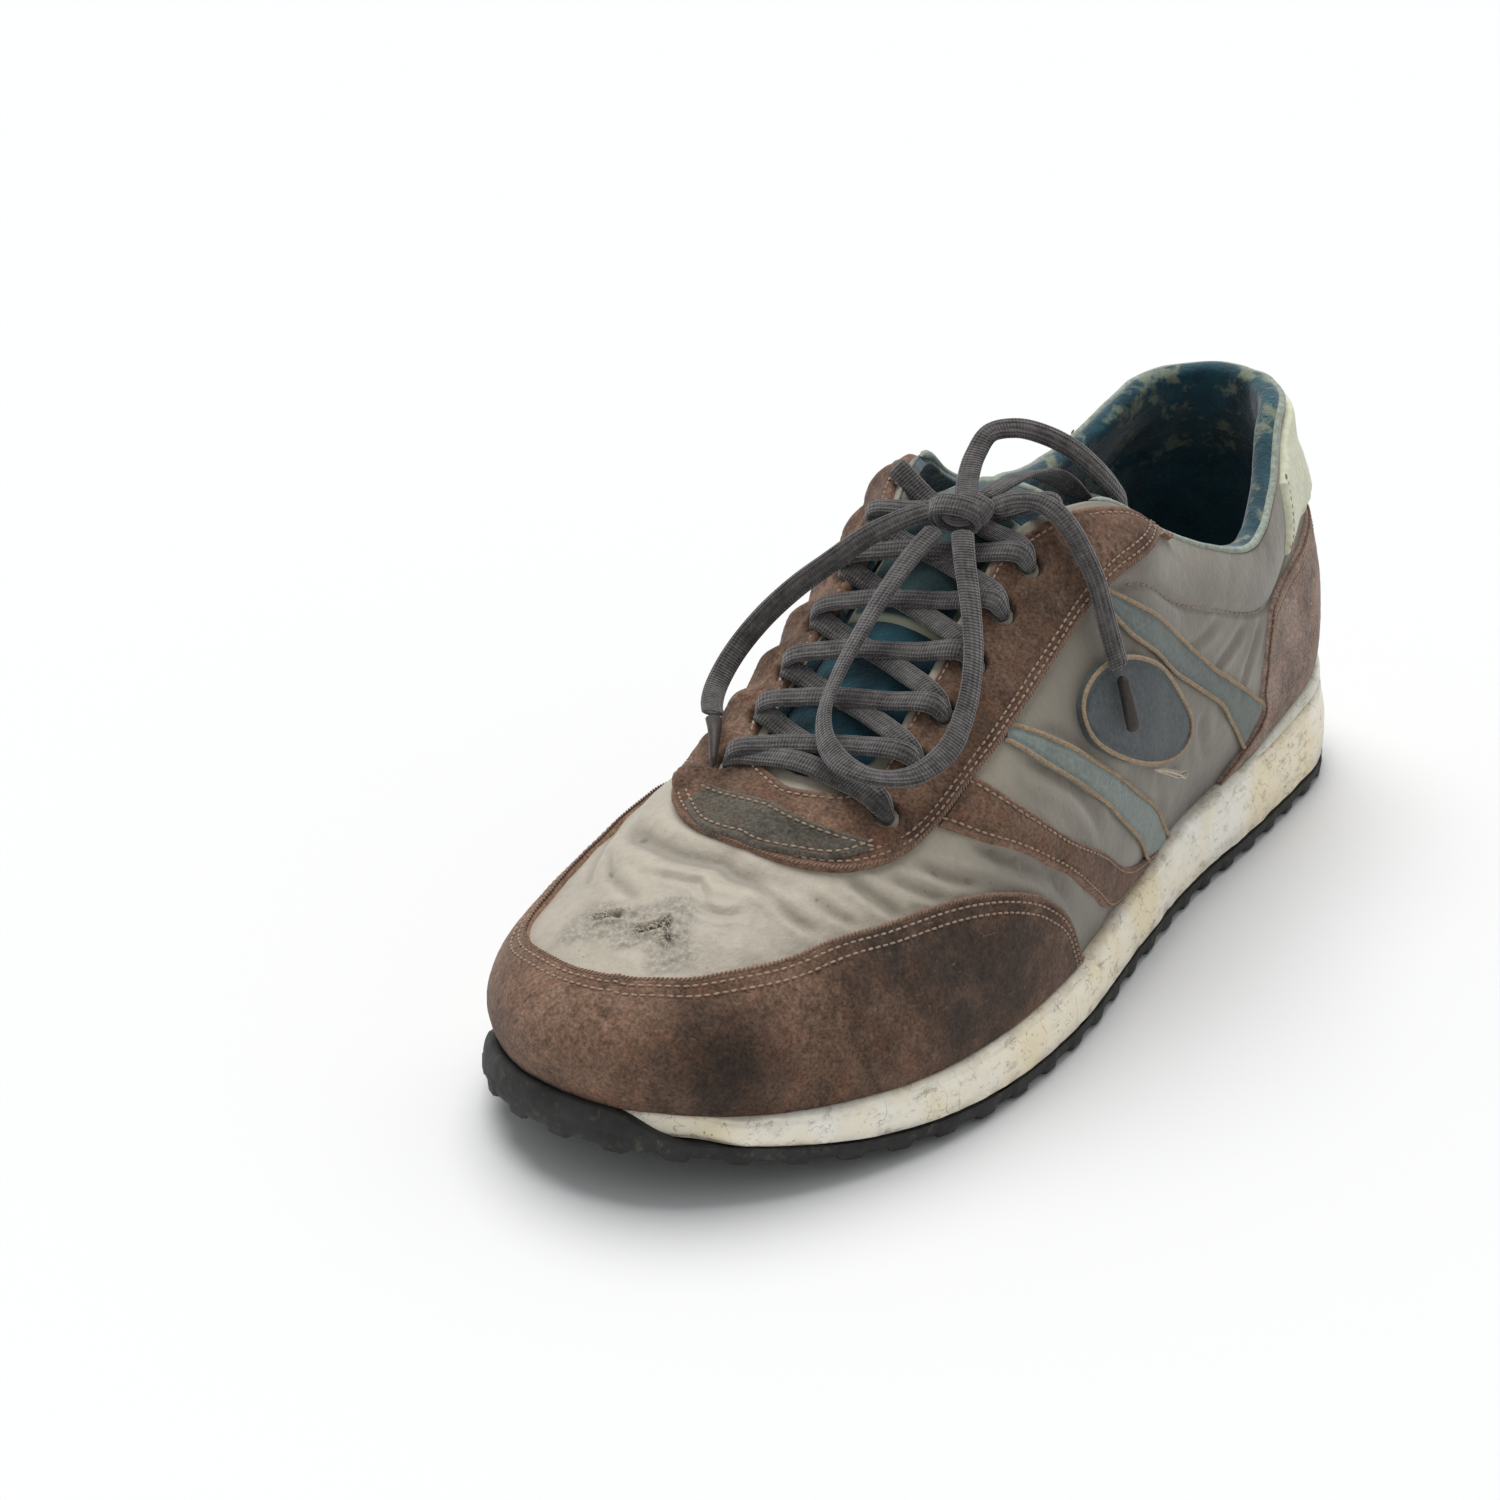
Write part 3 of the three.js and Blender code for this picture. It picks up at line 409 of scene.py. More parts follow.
# Creases of the upper: (fold, across) points, width and depth in mm. Each is a soft
# trough with a low ridge along both sides; a depth below 0 gives a ridge between two troughs.
CREASES = [
    ([(2.2, -0.5), (2.34, -0.25), (2.42, -0.09), (2.44, 0.05), (2.38, 0.15), (2.3, 0.26)], 3.2, 1.5),
    ([(2.26, -0.42), (2.44, -0.3), (2.53, -0.2), (2.63, -0.1)], 1.7, 0.7),
    ([(2.46, -0.2), (2.513, -0.083), (2.56, 0.027), (2.58, 0.1)], 1.2, 0.6),
    ([(2.64, -0.02), (2.6, 0.06), (2.54, 0.14), (2.47, 0.2)], 1.3, 0.6),
    ([(2.43, 0.08), (2.413, 0.153), (2.395, 0.273), (2.36, 0.4)], 1.6, 0.8),
    ([(2.33, 0.22), (2.32, 0.31), (2.28, 0.43)], 1.5, 0.6),
    ([(2.25, 0.25), (2.23, 0.36), (2.2, 0.49)], 1.8, 0.9),
    ([(2.19, 0.33), (2.16, 0.43), (2.11, 0.53)], 1.5, 0.7),
    ([(2.138, 0.36), (2.1, 0.47), (2.03, 0.58)], 1.7, 0.8),
    ([(2.06, 0.42), (1.985, 0.56), (1.876, 0.71), (1.80, 0.87)], 2.4, 1.0),
    ([(2.02, 0.43), (1.92, 0.6), (1.83, 0.79)], 1.6, 0.6),
    ([(1.93, 0.37), (1.84, 0.5), (1.74, 0.66), (1.68, 0.8)], 2.4, 0.8),
    ([(1.87, 0.36), (1.78, 0.48), (1.69, 0.62)], 1.5, 0.5),
    ([(1.06, 0.26), (1.1, 0.4), (1.14, 0.56), (1.15, 0.7)], 2.0, 0.8),
    ([(1.14, 0.26), (1.2, 0.36), (1.3, 0.5)], 1.7, 0.8),
    ([(1.24, 0.24), (1.31, 0.32), (1.42, 0.42)], 1.7, 0.7),
    ([(1.3, 0.58), (1.28, 0.7), (1.22, 0.84)], 2.4, 0.7),
    ([(1.48, 0.7), (1.44, 0.8), (1.4, 0.92)], 2.6, 0.5),
    ([(2.2, -0.5), (2.34, -0.42), (2.5, -0.34)], 1.8, 0.7),
    ([(2.02, -0.42), (1.93, -0.56), (1.83, -0.76)], 2.2, 0.9),
    ([(2.12, -0.42), (2.04, -0.56), (1.95, -0.72)], 1.6, 0.6),
    ([(1.93, -0.38), (1.83, -0.52), (1.7, -0.72)], 2.2, 0.7),
    ([(1.12, -0.27), (1.17, -0.4), (1.24, -0.54)], 1.9, 0.8),
    ([(1.24, -0.26), (1.31, -0.36), (1.42, -0.46)], 1.7, 0.7),
    ([(1.04, -0.28), (1.06, -0.44), (1.1, -0.62)], 2.0, 0.7),
]
# Long shallow folds where the forefoot bends, across the leather as well
FLEX = [
    ([(2.2, 0.55), (2.16, 0.66), (2.1, 0.8), (2.06, 0.9)], 5.0, 1.0),
    ([(2.34, 0.55), (2.33, 0.66), (2.29, 0.8)], 4.5, 0.7),
    ([(2.48, 0.5), (2.5, 0.62), (2.48, 0.78)], 5.0, 0.6),
    ([(2.2, -0.55), (2.16, -0.66), (2.1, -0.8), (2.06, -0.9)], 5.0, 1.0),
    ([(2.36, -0.6), (2.34, -0.72), (2.3, -0.84)], 4.5, 0.7),
]
COLLAR_STITCH = [(0.66, 0.36), (0.82, 0.335), (1.0, 0.3), (1.13, 0.253), (1.278, 0.223), (1.431, 0.25),
                 (1.6, 0.262)]
TEAR = [[(2.635, -0.275), (2.63, -0.245), (2.637, -0.205), (2.652, -0.165)],
        [(2.76, -0.125), (2.8, -0.075), (2.83, -0.02), (2.835, 0.04), (2.81, 0.1)]]
RUBBED = [(2.65, -0.28), (2.67, -0.22), (2.71, -0.16), (2.77, -0.09), (2.82, -0.01), (2.84, 0.07),
          (2.8, 0.12)]
# About how many mm one unit of fold and one of across cover
MM_PER_PLACE = np.array([60.0, 90.0])
_lines = {}


def line_on_face(key, places, step=1.5):
    """A polyline in space along (fold, across) places on the upper, worked out once."""
    if key not in _lines:
        path = polyline(np.array(places) * MM_PER_PLACE, step) / MM_PER_PLACE
        _lines[key] = face(*over_ridge(path[:, 0], path[:, 1]))
    return _lines[key]


def trough(distance, share, width, depth):
    u = distance / width
    shape = np.exp(-(u**2) * 1.4) - 0.42 * np.exp(-(((u - 1.75) / 0.75) ** 2))
    return -depth * shape * smooth(share * 3.5) * smooth((1 - share) * 3.5)


def crumple(points, along_it, size, stretch, seed):
    """Sharp little folds all running one way: noise drawn out along a direction, creased at its zeros."""
    one = steady(np.array(along_it, float))
    q = points - (points @ one)[..., None] * one * (1 - 1 / stretch)
    q = q + 2.0 * np.stack([value_noise(points, 14, seed + k) for k in (1, 2, 3)], -1)
    fold = 1 - 2.2 * np.abs(value_noise(q, size, seed))
    return fold * smooth((value_noise(points, 21, seed + 4) + 0.35) / 0.5)


def relief(points, stiff=False):
    """How far the worn upper stands off its plain face, in mm. Stiff leather skips the finest folds."""
    height = 0.35 * value_noise(points, 26, 3) + 0.16 * value_noise(points, 9, 5)
    depth_kept, spread = (0.45, 1.5) if stiff else (1.0, 1.0)
    if not stiff:
        front = smooth((-38 - points[..., 1]) / 22)
        back = smooth((points[..., 1] - 20) / 26)
        height += 0.34 * front * crumple(points, (0.78, -0.62, -0.1), 6.5, 3.2, 11)
        height += 0.3 * (1 - front) * (1 - back) * crumple(points, (0, 0.75, -0.66), 7, 3.4, 13)
        height += 0.3 * back * crumple(points, (0, -0.3, -0.95), 6, 3.6, 15)
    for i, (places, width, depth) in enumerate(CREASES + FLEX):
        distance, share = near_line(points, line_on_face(("crease", i), places), 4 * width)
        height = height + depth_kept * trough(distance, share, width * spread, depth)
    return height


def collar_relief(points, turn, v):
    """The stitched channel under the collar's padding, and the padding's swell above it."""
    height = np.zeros(points.shape[:-1])
    for sign in (1, -1):
        line = line_on_face(("collar", sign), [(f, sign * a) for f, a in COLLAR_STITCH])
        distance, _ = near_line(points, line, 30)
        side = np.where(np.sin(turn) * sign >= 0, 1.0, 0.0)
        fold = fold_of(turn)
        level = 1 - along(COLLAR_STITCH, clamp(fold, 0.66, 1.6))
        above = (v > level) & (fold < 1.75)
        swell = 1.5 * np.sin(math.pi * clamp(distance / 19)) ** 0.8 * smooth((1.72 - fold) / 0.25)
        height += side * np.where(above, swell, 0)
        height -= 0.9 * side * np.exp(-((distance / 1.1) ** 2))
    return height


def shell(turn, v, height=0.0, stiff=False):
    """A point of the worn upper, a height off its face."""
    turn, v = np.broadcast_arrays(np.asarray(turn, float), np.asarray(v, float))
    base = face(turn, v)
    height = height + relief(base, stiff) + collar_relief(base, turn, v)
    return base + face_normal(turn, v) * height[..., None]


# ---------------------------------------------------------------- meshes

def to_frame(points):
    return (np.asarray(points, float) + SHIFT) / 1000


def grid_uv(points):
    """Lengths along a grid's columns and rows, in metres."""
    across = np.linalg.norm(np.diff(points, axis=1), axis=2).mean(0)
    up = np.linalg.norm(np.diff(points, axis=0), axis=2).mean(1)
    u = np.concatenate([[0], np.cumsum(across)]) / 1000
    v = np.concatenate([[0], np.cumsum(up)]) / 1000
    return np.stack(np.broadcast_arrays(u[None, :], v[:, None]), -1)


class Skin:
    """Grids of points in mm gathered into one mesh. A quad faces (next row) x (next column)."""

    def __init__(self):
        self.points, self.quads, self.uvs, self.values = [], [], [], {}
        self.count = 0

    def grid(self, points, uv=None, flip=False, **values):
        points = np.asarray(points, float)
        rows, columns = points.shape[:2]
        uv = grid_uv(points) if uv is None else np.broadcast_to(uv, (rows, columns, 2))
        index = np.arange(rows * columns).reshape(rows, columns) + self.count
        quads = np.stack([index[:-1, :-1], index[1:, :-1], index[1:, 1:], index[:-1, 1:]], -1).reshape(-1, 4)
        self.quads.append(quads[:, ::-1] if flip else quads)
        self.points.append(points.reshape(-1, 3))
        self.uvs.append(uv.reshape(-1, 2))
        for key in set(self.values) | set(values):
            blocks = self.values.setdefault(key, [np.zeros(self.count)] if self.count else [])
            blocks.append(np.broadcast_to(values.get(key, 0.0), (rows, columns)).reshape(-1).astype(float))
        self.count += rows * columns

    def strip(self, a, b, **values):
        self.grid(np.stack([a, b]), **values)

    def tube(self, path, up, width, thick, **shape):
        """A cord or a flat lace swept along a path."""
        rings, uv = sweep(path, up, width, thick, **shape)
        self.grid(rings, uv=uv)

    def sides(self, under, outer):
        """Closes the four sides between two like grids, the second on the outside."""
        for a, b in ((under[0], outer[0]), (outer[-1], under[-1]), (outer[:, 0], under[:, 0]),
                     (under[:, -1], outer[:, -1])):
            self.grid(np.stack([a, b]))

    def piece(self, name, key, stands_for, slot):
        return add_piece(name, self.mesh(name), finish(key), stands_for)

    def mesh(self, name):
        points = to_frame(np.concatenate(self.points))
        quads = np.concatenate(self.quads)
        mesh = bpy.data.meshes.new(name)
        mesh.vertices.add(len(points))
        mesh.vertices.foreach_set("co", points.astype(np.float32).ravel())
        mesh.loops.add(quads.size)
        mesh.loops.foreach_set("vertex_index", quads.astype(np.int32).ravel())
        mesh.polygons.add(len(quads))
        mesh.polygons.foreach_set("loop_start", np.arange(0, quads.size, 4, dtype=np.int32))
        mesh.polygons.foreach_set("loop_total", np.full(len(quads), 4, np.int32))
        mesh.polygons.foreach_set("use_smooth", np.ones(len(quads), bool))
        mesh.update(calc_edges=True)
        uv = np.concatenate(self.uvs)[quads.ravel()]
        layer = mesh.uv_layers.new(name="Lengths")
        layer.data.foreach_set("uv", uv.astype(np.float32).ravel())
        for key, blocks in self.values.items():
            attribute = mesh.attributes.new(key, "FLOAT", "POINT")
            attribute.data.foreach_set("value", np.concatenate(blocks).astype(np.float32))
        weld(mesh)
        return mesh


def weld(mesh):
    work = bmesh.new()
    work.from_mesh(mesh)
    bmesh.ops.remove_doubles(work, verts=work.verts, dist=1e-6)
    bmesh.ops.dissolve_degenerate(work, edges=work.edges, dist=1e-7)
    work.to_mesh(mesh)
    work.free()


def add_piece(name, mesh, material, stands_for):
    piece = bpy.data.objects.new(name, mesh)
    bpy.context.scene.collection.objects.link(piece)
    if not mesh.materials:
        mesh.materials.append(material)
    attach(piece, "root")
    if stands_for:
        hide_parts(*stands_for)
    return piece


def columns(step_at):
    """Turns round the sole's edge, the same on both sides, spaced by step_at(turn) mm."""
    fine = np.linspace(0, math.pi, 3000)
    lateral, medial = plan_point(fine), plan_point(TURN - fine)
    left, right = (np.linalg.norm(np.diff(side, axis=0), axis=1) for side in (lateral, medial))
    ds = 0.5 * (left + right)
    run = np.concatenate([[0], np.cumsum(ds / step_at((fine[1:] + fine[:-1]) / 2))])
    turns = np.interp(np.linspace(0, run[-1], int(run[-1]) + 1), run, fine)
    turns[0], turns[-1] = 0, math.pi
    turns[np.argmin(np.abs(turns - THROAT_COLUMN))] = THROAT_COLUMN
    return np.concatenate([turns, TURN - turns[-2::-1]])


def open_slices(turns):
    """The columns whose ribs end at the collar or throat, as a lateral and a medial slice."""
    fold = fold_of(turns)
    free = np.nonzero(fold < THROAT_COLUMN + 1e-6)[0]
    lateral = free[free < len(turns) // 2]
    medial = free[free > len(turns) // 2]
    return slice(0, lateral[-1] + 1), slice(medial[0], len(turns))


# ---------------------------------------------------------------- panels laid on the upper

def trace(places, share):
    """A place at each share of a smooth curve through (turn, v) or (fold, across) places."""
    places = np.asarray(places, float)
    knots = run_of(places * MM_PER_PLACE)
    return np.stack([along(list(zip(knots / knots[-1], places[:, k])), share) for k in (0, 1)], -1)


# Rows close to a panel's edge, where it rounds over, in mm
EDGE_INSETS = (0, 0.12, 0.35, 0.7, 1.15, 1.6)


def spaced(length, count):
    """Distances across a length: close together near both ends, then even."""
    length = np.asarray(length, float)[..., None]
    near = np.array(EDGE_INSETS) * np.minimum(1, length * 0.45 / EDGE_INSETS[-1])
    middle = near[..., -1:] + (length - 2 * near[..., -1:]) * (np.arange(1, count) / count)
    return np.concatenate([near, middle, length - near[..., ::-1]], -1)


class Panel:
    """A patch of the upper between a first and a last edge, each a list of places."""

    def __init__(self, first, last, place=over_ridge, step=1.1, bare=()):
        shares = np.linspace(0, 1, 13)
        fine = np.linspace(0, 1, 321)
        a, b = self.ends(first, last, fine)
        middle = face(*place(*np.moveaxis((a + b) / 2, -1, 0)))
        run = run_of(middle)
        count = max(int((run[-1] - 2 * EDGE_INSETS[-1]) / step), 2)
        start = spaced(run[-1], count)
        a, b = self.ends(first, last, np.interp(start, run, fine))
        lines = a[None] + (b - a)[None] * shares[:, None, None]
        space = face(*place(*np.moveaxis(lines, -1, 0)))
        gaps = np.linalg.norm(np.diff(space, axis=0), axis=2)
        cum = np.concatenate([np.zeros((1, len(a))), np.cumsum(gaps, axis=0)])
        wide = cum[-1]
        rows = max(int((wide.max() - 2 * EDGE_INSETS[-1]) / step), 2)
        low = spaced(wide, rows).T
        w = np.stack([np.interp(low[:, c], cum[:, c], shares) for c in range(len(a))], -1)
        flat = a[None] + (b - a)[None] * w[..., None]
        self.turn, self.v = place(flat[..., 0], flat[..., 1])
        start = np.broadcast_to(start, low.shape)
        self.bare = bare
        self.edges = {"low": low, "high": wide[None] - low, "start": start, "end": run[-1] - start}

    @staticmethod
    def ends(first, last, share):
        a = first(share) if callable(first) else trace(first, share)
        b = last(share) if callable(last) else trace(last, share)
        return a, b

    def inset(self):
        """Distance in from the nearest finished edge."""
        kept = [d for name, d in self.edges.items() if name not in self.bare]
        return np.minimum.reduce(kept)

    def row_at(self, name, distance):
        """(turn, v) along a line this far in from an edge named low or high."""
        away = self.edges[name]
        turn, v = [], []
        for c in range(away.shape[1]):
            order = np.argsort(away[:, c])
            turn.append(np.interp(distance, away[order, c], self.turn[order, c]))
            v.append(np.interp(distance, away[order, c], self.v[order, c]))
        return np.array(turn), np.array(v)


def rise(distance, radius):
    return np.sqrt(np.maximum(1 - (1 - clamp(distance / radius)) ** 2, 0))


def laid_panel(name, panel, thickness, key, stands_for, slot, lift=0.0, seams=(), puff=0.0, sunk=0.6,
               rough=0.06, holes=(), pucker=None):
    """A closed panel on the worn upper, with rounded edges and a dent along each seam."""
    inset = panel.inset()
    height = lift + thickness * rise(inset, thickness * 0.9)
    for edge_name, distance in seams:
        height = height - 0.28 * np.exp(-(((panel.edges[edge_name] - distance) / 0.55) ** 2))
    height = height + puff * rise(inset, 9)
    base = face(panel.turn, panel.v)
    height = height + rough * value_noise(base, 1.3, 7) * rise(inset, 1.0) + 0.12 * value_noise(base, 5, 8)
    if pucker is not None:
        height = height + pucker(base)
    # Eyelet holes: the pit share dents the panel about 3 mm, and the suede is painted near black there as
    # painted shade inside the hole
    pit = np.zeros(inset.shape)
    for centre, hole_radius in holes:
        away = np.linalg.norm(base - centre, axis=-1)
        pit = np.maximum(pit, 1 - smooth((away - hole_radius + 0.35) / 0.7))
        height = height + 0.25 * np.exp(-(((away - hole_radius - 1.2) / 0.9) ** 2))
    height = height - 3.2 * pit
    outer = shell(panel.turn, panel.v, height, stiff=True)
    under = shell(panel.turn, panel.v, -sunk, stiff=True)
    under = under - face_normal(panel.turn, panel.v) * (3.0 * pit)[..., None]
    skin = Skin()
    skin.grid(outer, edge=inset, pit=pit)
    skin.grid(under[::-1], edge=inset[::-1])
    skin.sides(under, outer)
    return skin.piece(name, key, stands_for, slot)


# ---------------------------------------------------------------- cords and laces

def sweep(path, up, width, thick, sides=14, closed=False, power=0.75, squeeze=None):
    """A flat woven lace along a path, lying across the up direction given for each point. squeeze is
    the share of its width that it keeps at each point, and it gets thicker there."""
    path = np.asarray(path, float)
    tangent = steady(np.gradient(path, axis=0))
    if closed:
        tangent = steady(np.roll(path, -1, 0) - np.roll(path, 1, 0))
    side = steady(np.cross(tangent, up))
    top = np.cross(side, tangent)
    a = np.linspace(0, TURN, sides + 1)
    x = squared(np.cos(a), power) * width / 2
    y = squared(np.sin(a), power) * thick / 2
    size = np.ones(len(path))
    if not closed:
        size[[0, -1]] = 0.02
        size[[1, -2]] = 0.75
    narrow = np.ones(len(path)) if squeeze is None else squeeze
    wide, high = (size * narrow)[:, None, None], (size * np.minimum(narrow**-0.6, 1.35))[:, None, None]
    rings = path[:, None] + wide * side[:, None] * x[None, :, None] + high * top[:, None] * y[None, :, None]
    run = run_of(path) / 1000
    uv = np.stack(np.broadcast_arrays(np.linspace(0, 1, sides + 1)[None], run[:, None]), -1)
    if closed:
        rings = np.concatenate([rings, rings[:1]])
        uv = np.concatenate([uv, uv[-1:] + 0.001])
    return rings, uv


def lace_line(points, ups, step=0.8):
    """A smooth path through lace points, with the up directions carried along it."""
    both = np.concatenate([np.asarray(points, float), steady(np.asarray(ups, float))], -1)
    chord = run_of(both[:, :3])
    at = np.linspace(0, chord[-1], int(chord[-1] / step * 3))
    fine = np.stack([along(list(zip(chord, both[:, k])), at) for k in range(6)], -1)
    run = run_of(fine[:, :3])
    even = np.linspace(0, run[-1], max(int(run[-1] / step), 6))
    fine = np.stack([np.interp(even, run, fine[:, k]) for k in range(6)], -1)
    return fine[:, :3], steady(fine[:, 3:])


# ---------------------------------------------------------------- geometry nodes

def new_tree(name, sizes):
    """An empty tree with named inputs for its sizes: (tree, node maker, link maker, inputs, outputs)."""
    tree = bpy.data.node_groups.new(name, "GeometryNodeTree")
    kinds = {"Geometry": "Geometry", **dict.fromkeys(sizes, "Float"), "Material": "Material"}
    for key, kind in kinds.items():
        tree.interface.new_socket(key, in_out="INPUT", socket_type="NodeSocket" + kind)
    tree.interface.new_socket("Geometry", in_out="OUTPUT", socket_type="NodeSocketGeometry")

    def node(kind, **settings):
        made = tree.nodes.new(kind)
        for key, value in settings.items():
            setattr(made, key, value)
        return made

    return tree, node, tree.links.new, node("NodeGroupInput"), node("NodeGroupOutput")


def stitch_tree():
    """Threads laid along polylines: each vertex's up vector is the surface's normal there."""
    if "sewn_thread" in bpy.data.node_groups:
        return bpy.data.node_groups["sewn_thread"]
    tree, node, link, given, out = new_tree(
        "sewn_thread", ("Spacing", "Thread Length", "Thread Radius", "Slant", "Unevenness"))
    curve = node("GeometryNodeMeshToCurve")
    points = node("GeometryNodeCurveToPoints", mode="LENGTH")
    link(given.outputs["Geometry"], curve.inputs["Mesh"])
    link(curve.outputs["Curve"], points.inputs["Curve"])
    link(given.outputs["Spacing"], points.inputs["Length"])
    up = node("GeometryNodeInputNamedAttribute", data_type="FLOAT_VECTOR")
    up.inputs["Name"].default_value = "up"
    first = node("FunctionNodeAlignRotationToVector", axis="Z")
    link(points.outputs["Tangent"], first.inputs["Vector"])
    second = node("FunctionNodeAlignRotationToVector", axis="X", pivot_axis="Z")
    link(first.outputs["Rotation"], second.inputs["Rotation"])
    link(up.outputs["Attribute"], second.inputs["Vector"])
    wobble = node("FunctionNodeRandomValue", data_type="FLOAT")
    wobble.inputs["Seed"].default_value = 11
    span = node("ShaderNodeMath", operation="MULTIPLY")
    span.inputs[1].default_value = -1
    link(given.outputs["Unevenness"], span.inputs[0])
    link(span.outputs[0], wobble.inputs[2])
    link(given.outputs["Unevenness"], wobble.inputs[3])
    lean = node("ShaderNodeMath", operation="ADD")
    link(given.outputs["Slant"], lean.inputs[0])
    link(wobble.outputs[1], lean.inputs[1])
    euler = node("ShaderNodeCombineXYZ")
    link(lean.outputs[0], euler.inputs["X"])
    turn = node("FunctionNodeRotateRotation", rotation_space="LOCAL")
    link(second.outputs["Rotation"], turn.inputs["Rotation"])
    link(euler.outputs[0], turn.inputs["Rotate By"])
    ball = node("GeometryNodeMeshUVSphere")
    ball.inputs["Segments"].default_value = 6
    ball.inputs["Rings"].default_value = 5
    ball.inputs["Radius"].default_value = 1.0
    half = node("ShaderNodeMath", operation="MULTIPLY")
    half.inputs[1].default_value = 0.5
    link(given.outputs["Thread Length"], half.inputs[0])
    size = node("ShaderNodeCombineXYZ")
    link(given.outputs["Thread Radius"], size.inputs["X"])
    link(given.outputs["Thread Radius"], size.inputs["Y"])
    link(half.outputs[0], size.inputs["Z"])
    thread = node("GeometryNodeTransform")
    link(ball.outputs["Mesh"], thread.inputs["Geometry"])
    link(size.outputs[0], thread.inputs["Scale"])
    laid = node("GeometryNodeInstanceOnPoints")
    link(points.outputs["Points"], laid.inputs["Points"])
    link(thread.outputs["Geometry"], laid.inputs["Instance"])
    link(turn.outputs["Rotation"], laid.inputs["Rotation"])
    real = node("GeometryNodeRealizeInstances")
    link(laid.outputs["Instances"], real.inputs["Geometry"])
    shade = node("GeometryNodeSetShadeSmooth")
    link(real.outputs["Geometry"], shade.inputs["Geometry"])
    paint = node("GeometryNodeSetMaterial")
    link(shade.outputs[0], paint.inputs["Geometry"])
    link(given.outputs["Material"], paint.inputs["Material"])
    link(paint.outputs["Geometry"], out.inputs["Geometry"])
    return tree


def grown(name, mesh, tree, settings, stands_for):
    """Runs a geometry node tree on a mesh and keeps the result as a plain piece."""
    seed = bpy.data.objects.new(name + "_seed", mesh)
    bpy.context.scene.collection.objects.link(seed)
    modifier = seed.modifiers.new("Nodes", "NODES")
    modifier.node_group = tree
    sockets = {item.name: item for item in tree.interface.items_tree if item.in_out == "INPUT"}
    for key, value in settings.items():
        modifier[sockets[key].identifier] = value
    bpy.context.view_layer.update()
    evaluated = seed.evaluated_get(bpy.context.evaluated_depsgraph_get())
    made = bpy.data.meshes.new_from_object(evaluated)
    made.name = name
    bpy.data.objects.remove(seed)
    return add_piece(name, made, settings["Material"], stands_for)


def thread_mesh(name, rows):
    """Polylines as a mesh of edges, each vertex with the normal of the face under it."""
    points, ups, edges, count = [], [], [], 0
    for line, up in rows:
        points.append(line)
        ups.append(up)
        edges += [(count + i, count + i + 1) for i in range(len(line) - 1)]
        count += len(line)
    mesh = bpy.data.meshes.new(name)
    mesh.from_pydata(to_frame(np.concatenate(points)).tolist(), edges, [])
    layer = mesh.attributes.new("up", "FLOAT_VECTOR", "POINT")
    layer.data.foreach_set("vector", np.concatenate(ups).astype(np.float32).ravel())
    return mesh


def on_shell(turn, v, height):
    """A row of points a height above the worn upper, with the normals there."""
    return shell(turn, v, height, stiff=True), face_normal(turn, v)


def sew(name, rows, key, spacing, length, radius=0.3, slant=0.0, uneven=0.08):
    """Stitches of a thread along rows of (points, normals); lengths in mm."""
    return grown(name, thread_mesh(name, rows), stitch_tree(), {
        "Spacing": spacing / 1000, "Thread Length": length / 1000, "Thread Radius": radius / 1000,
        "Slant": slant, "Unevenness": uneven, "Material": finish(key)}, ())


# ---------------------------------------------------------------- finishes

def tone(red, green, blue):
    """A linear colour from display values, 0 to 255."""
    parts = [x / 255 for x in (red, green, blue)]
    return tuple(p / 12.92 if p < 0.04 else ((p + 0.055) / 1.055) ** 2.4 for p in parts)


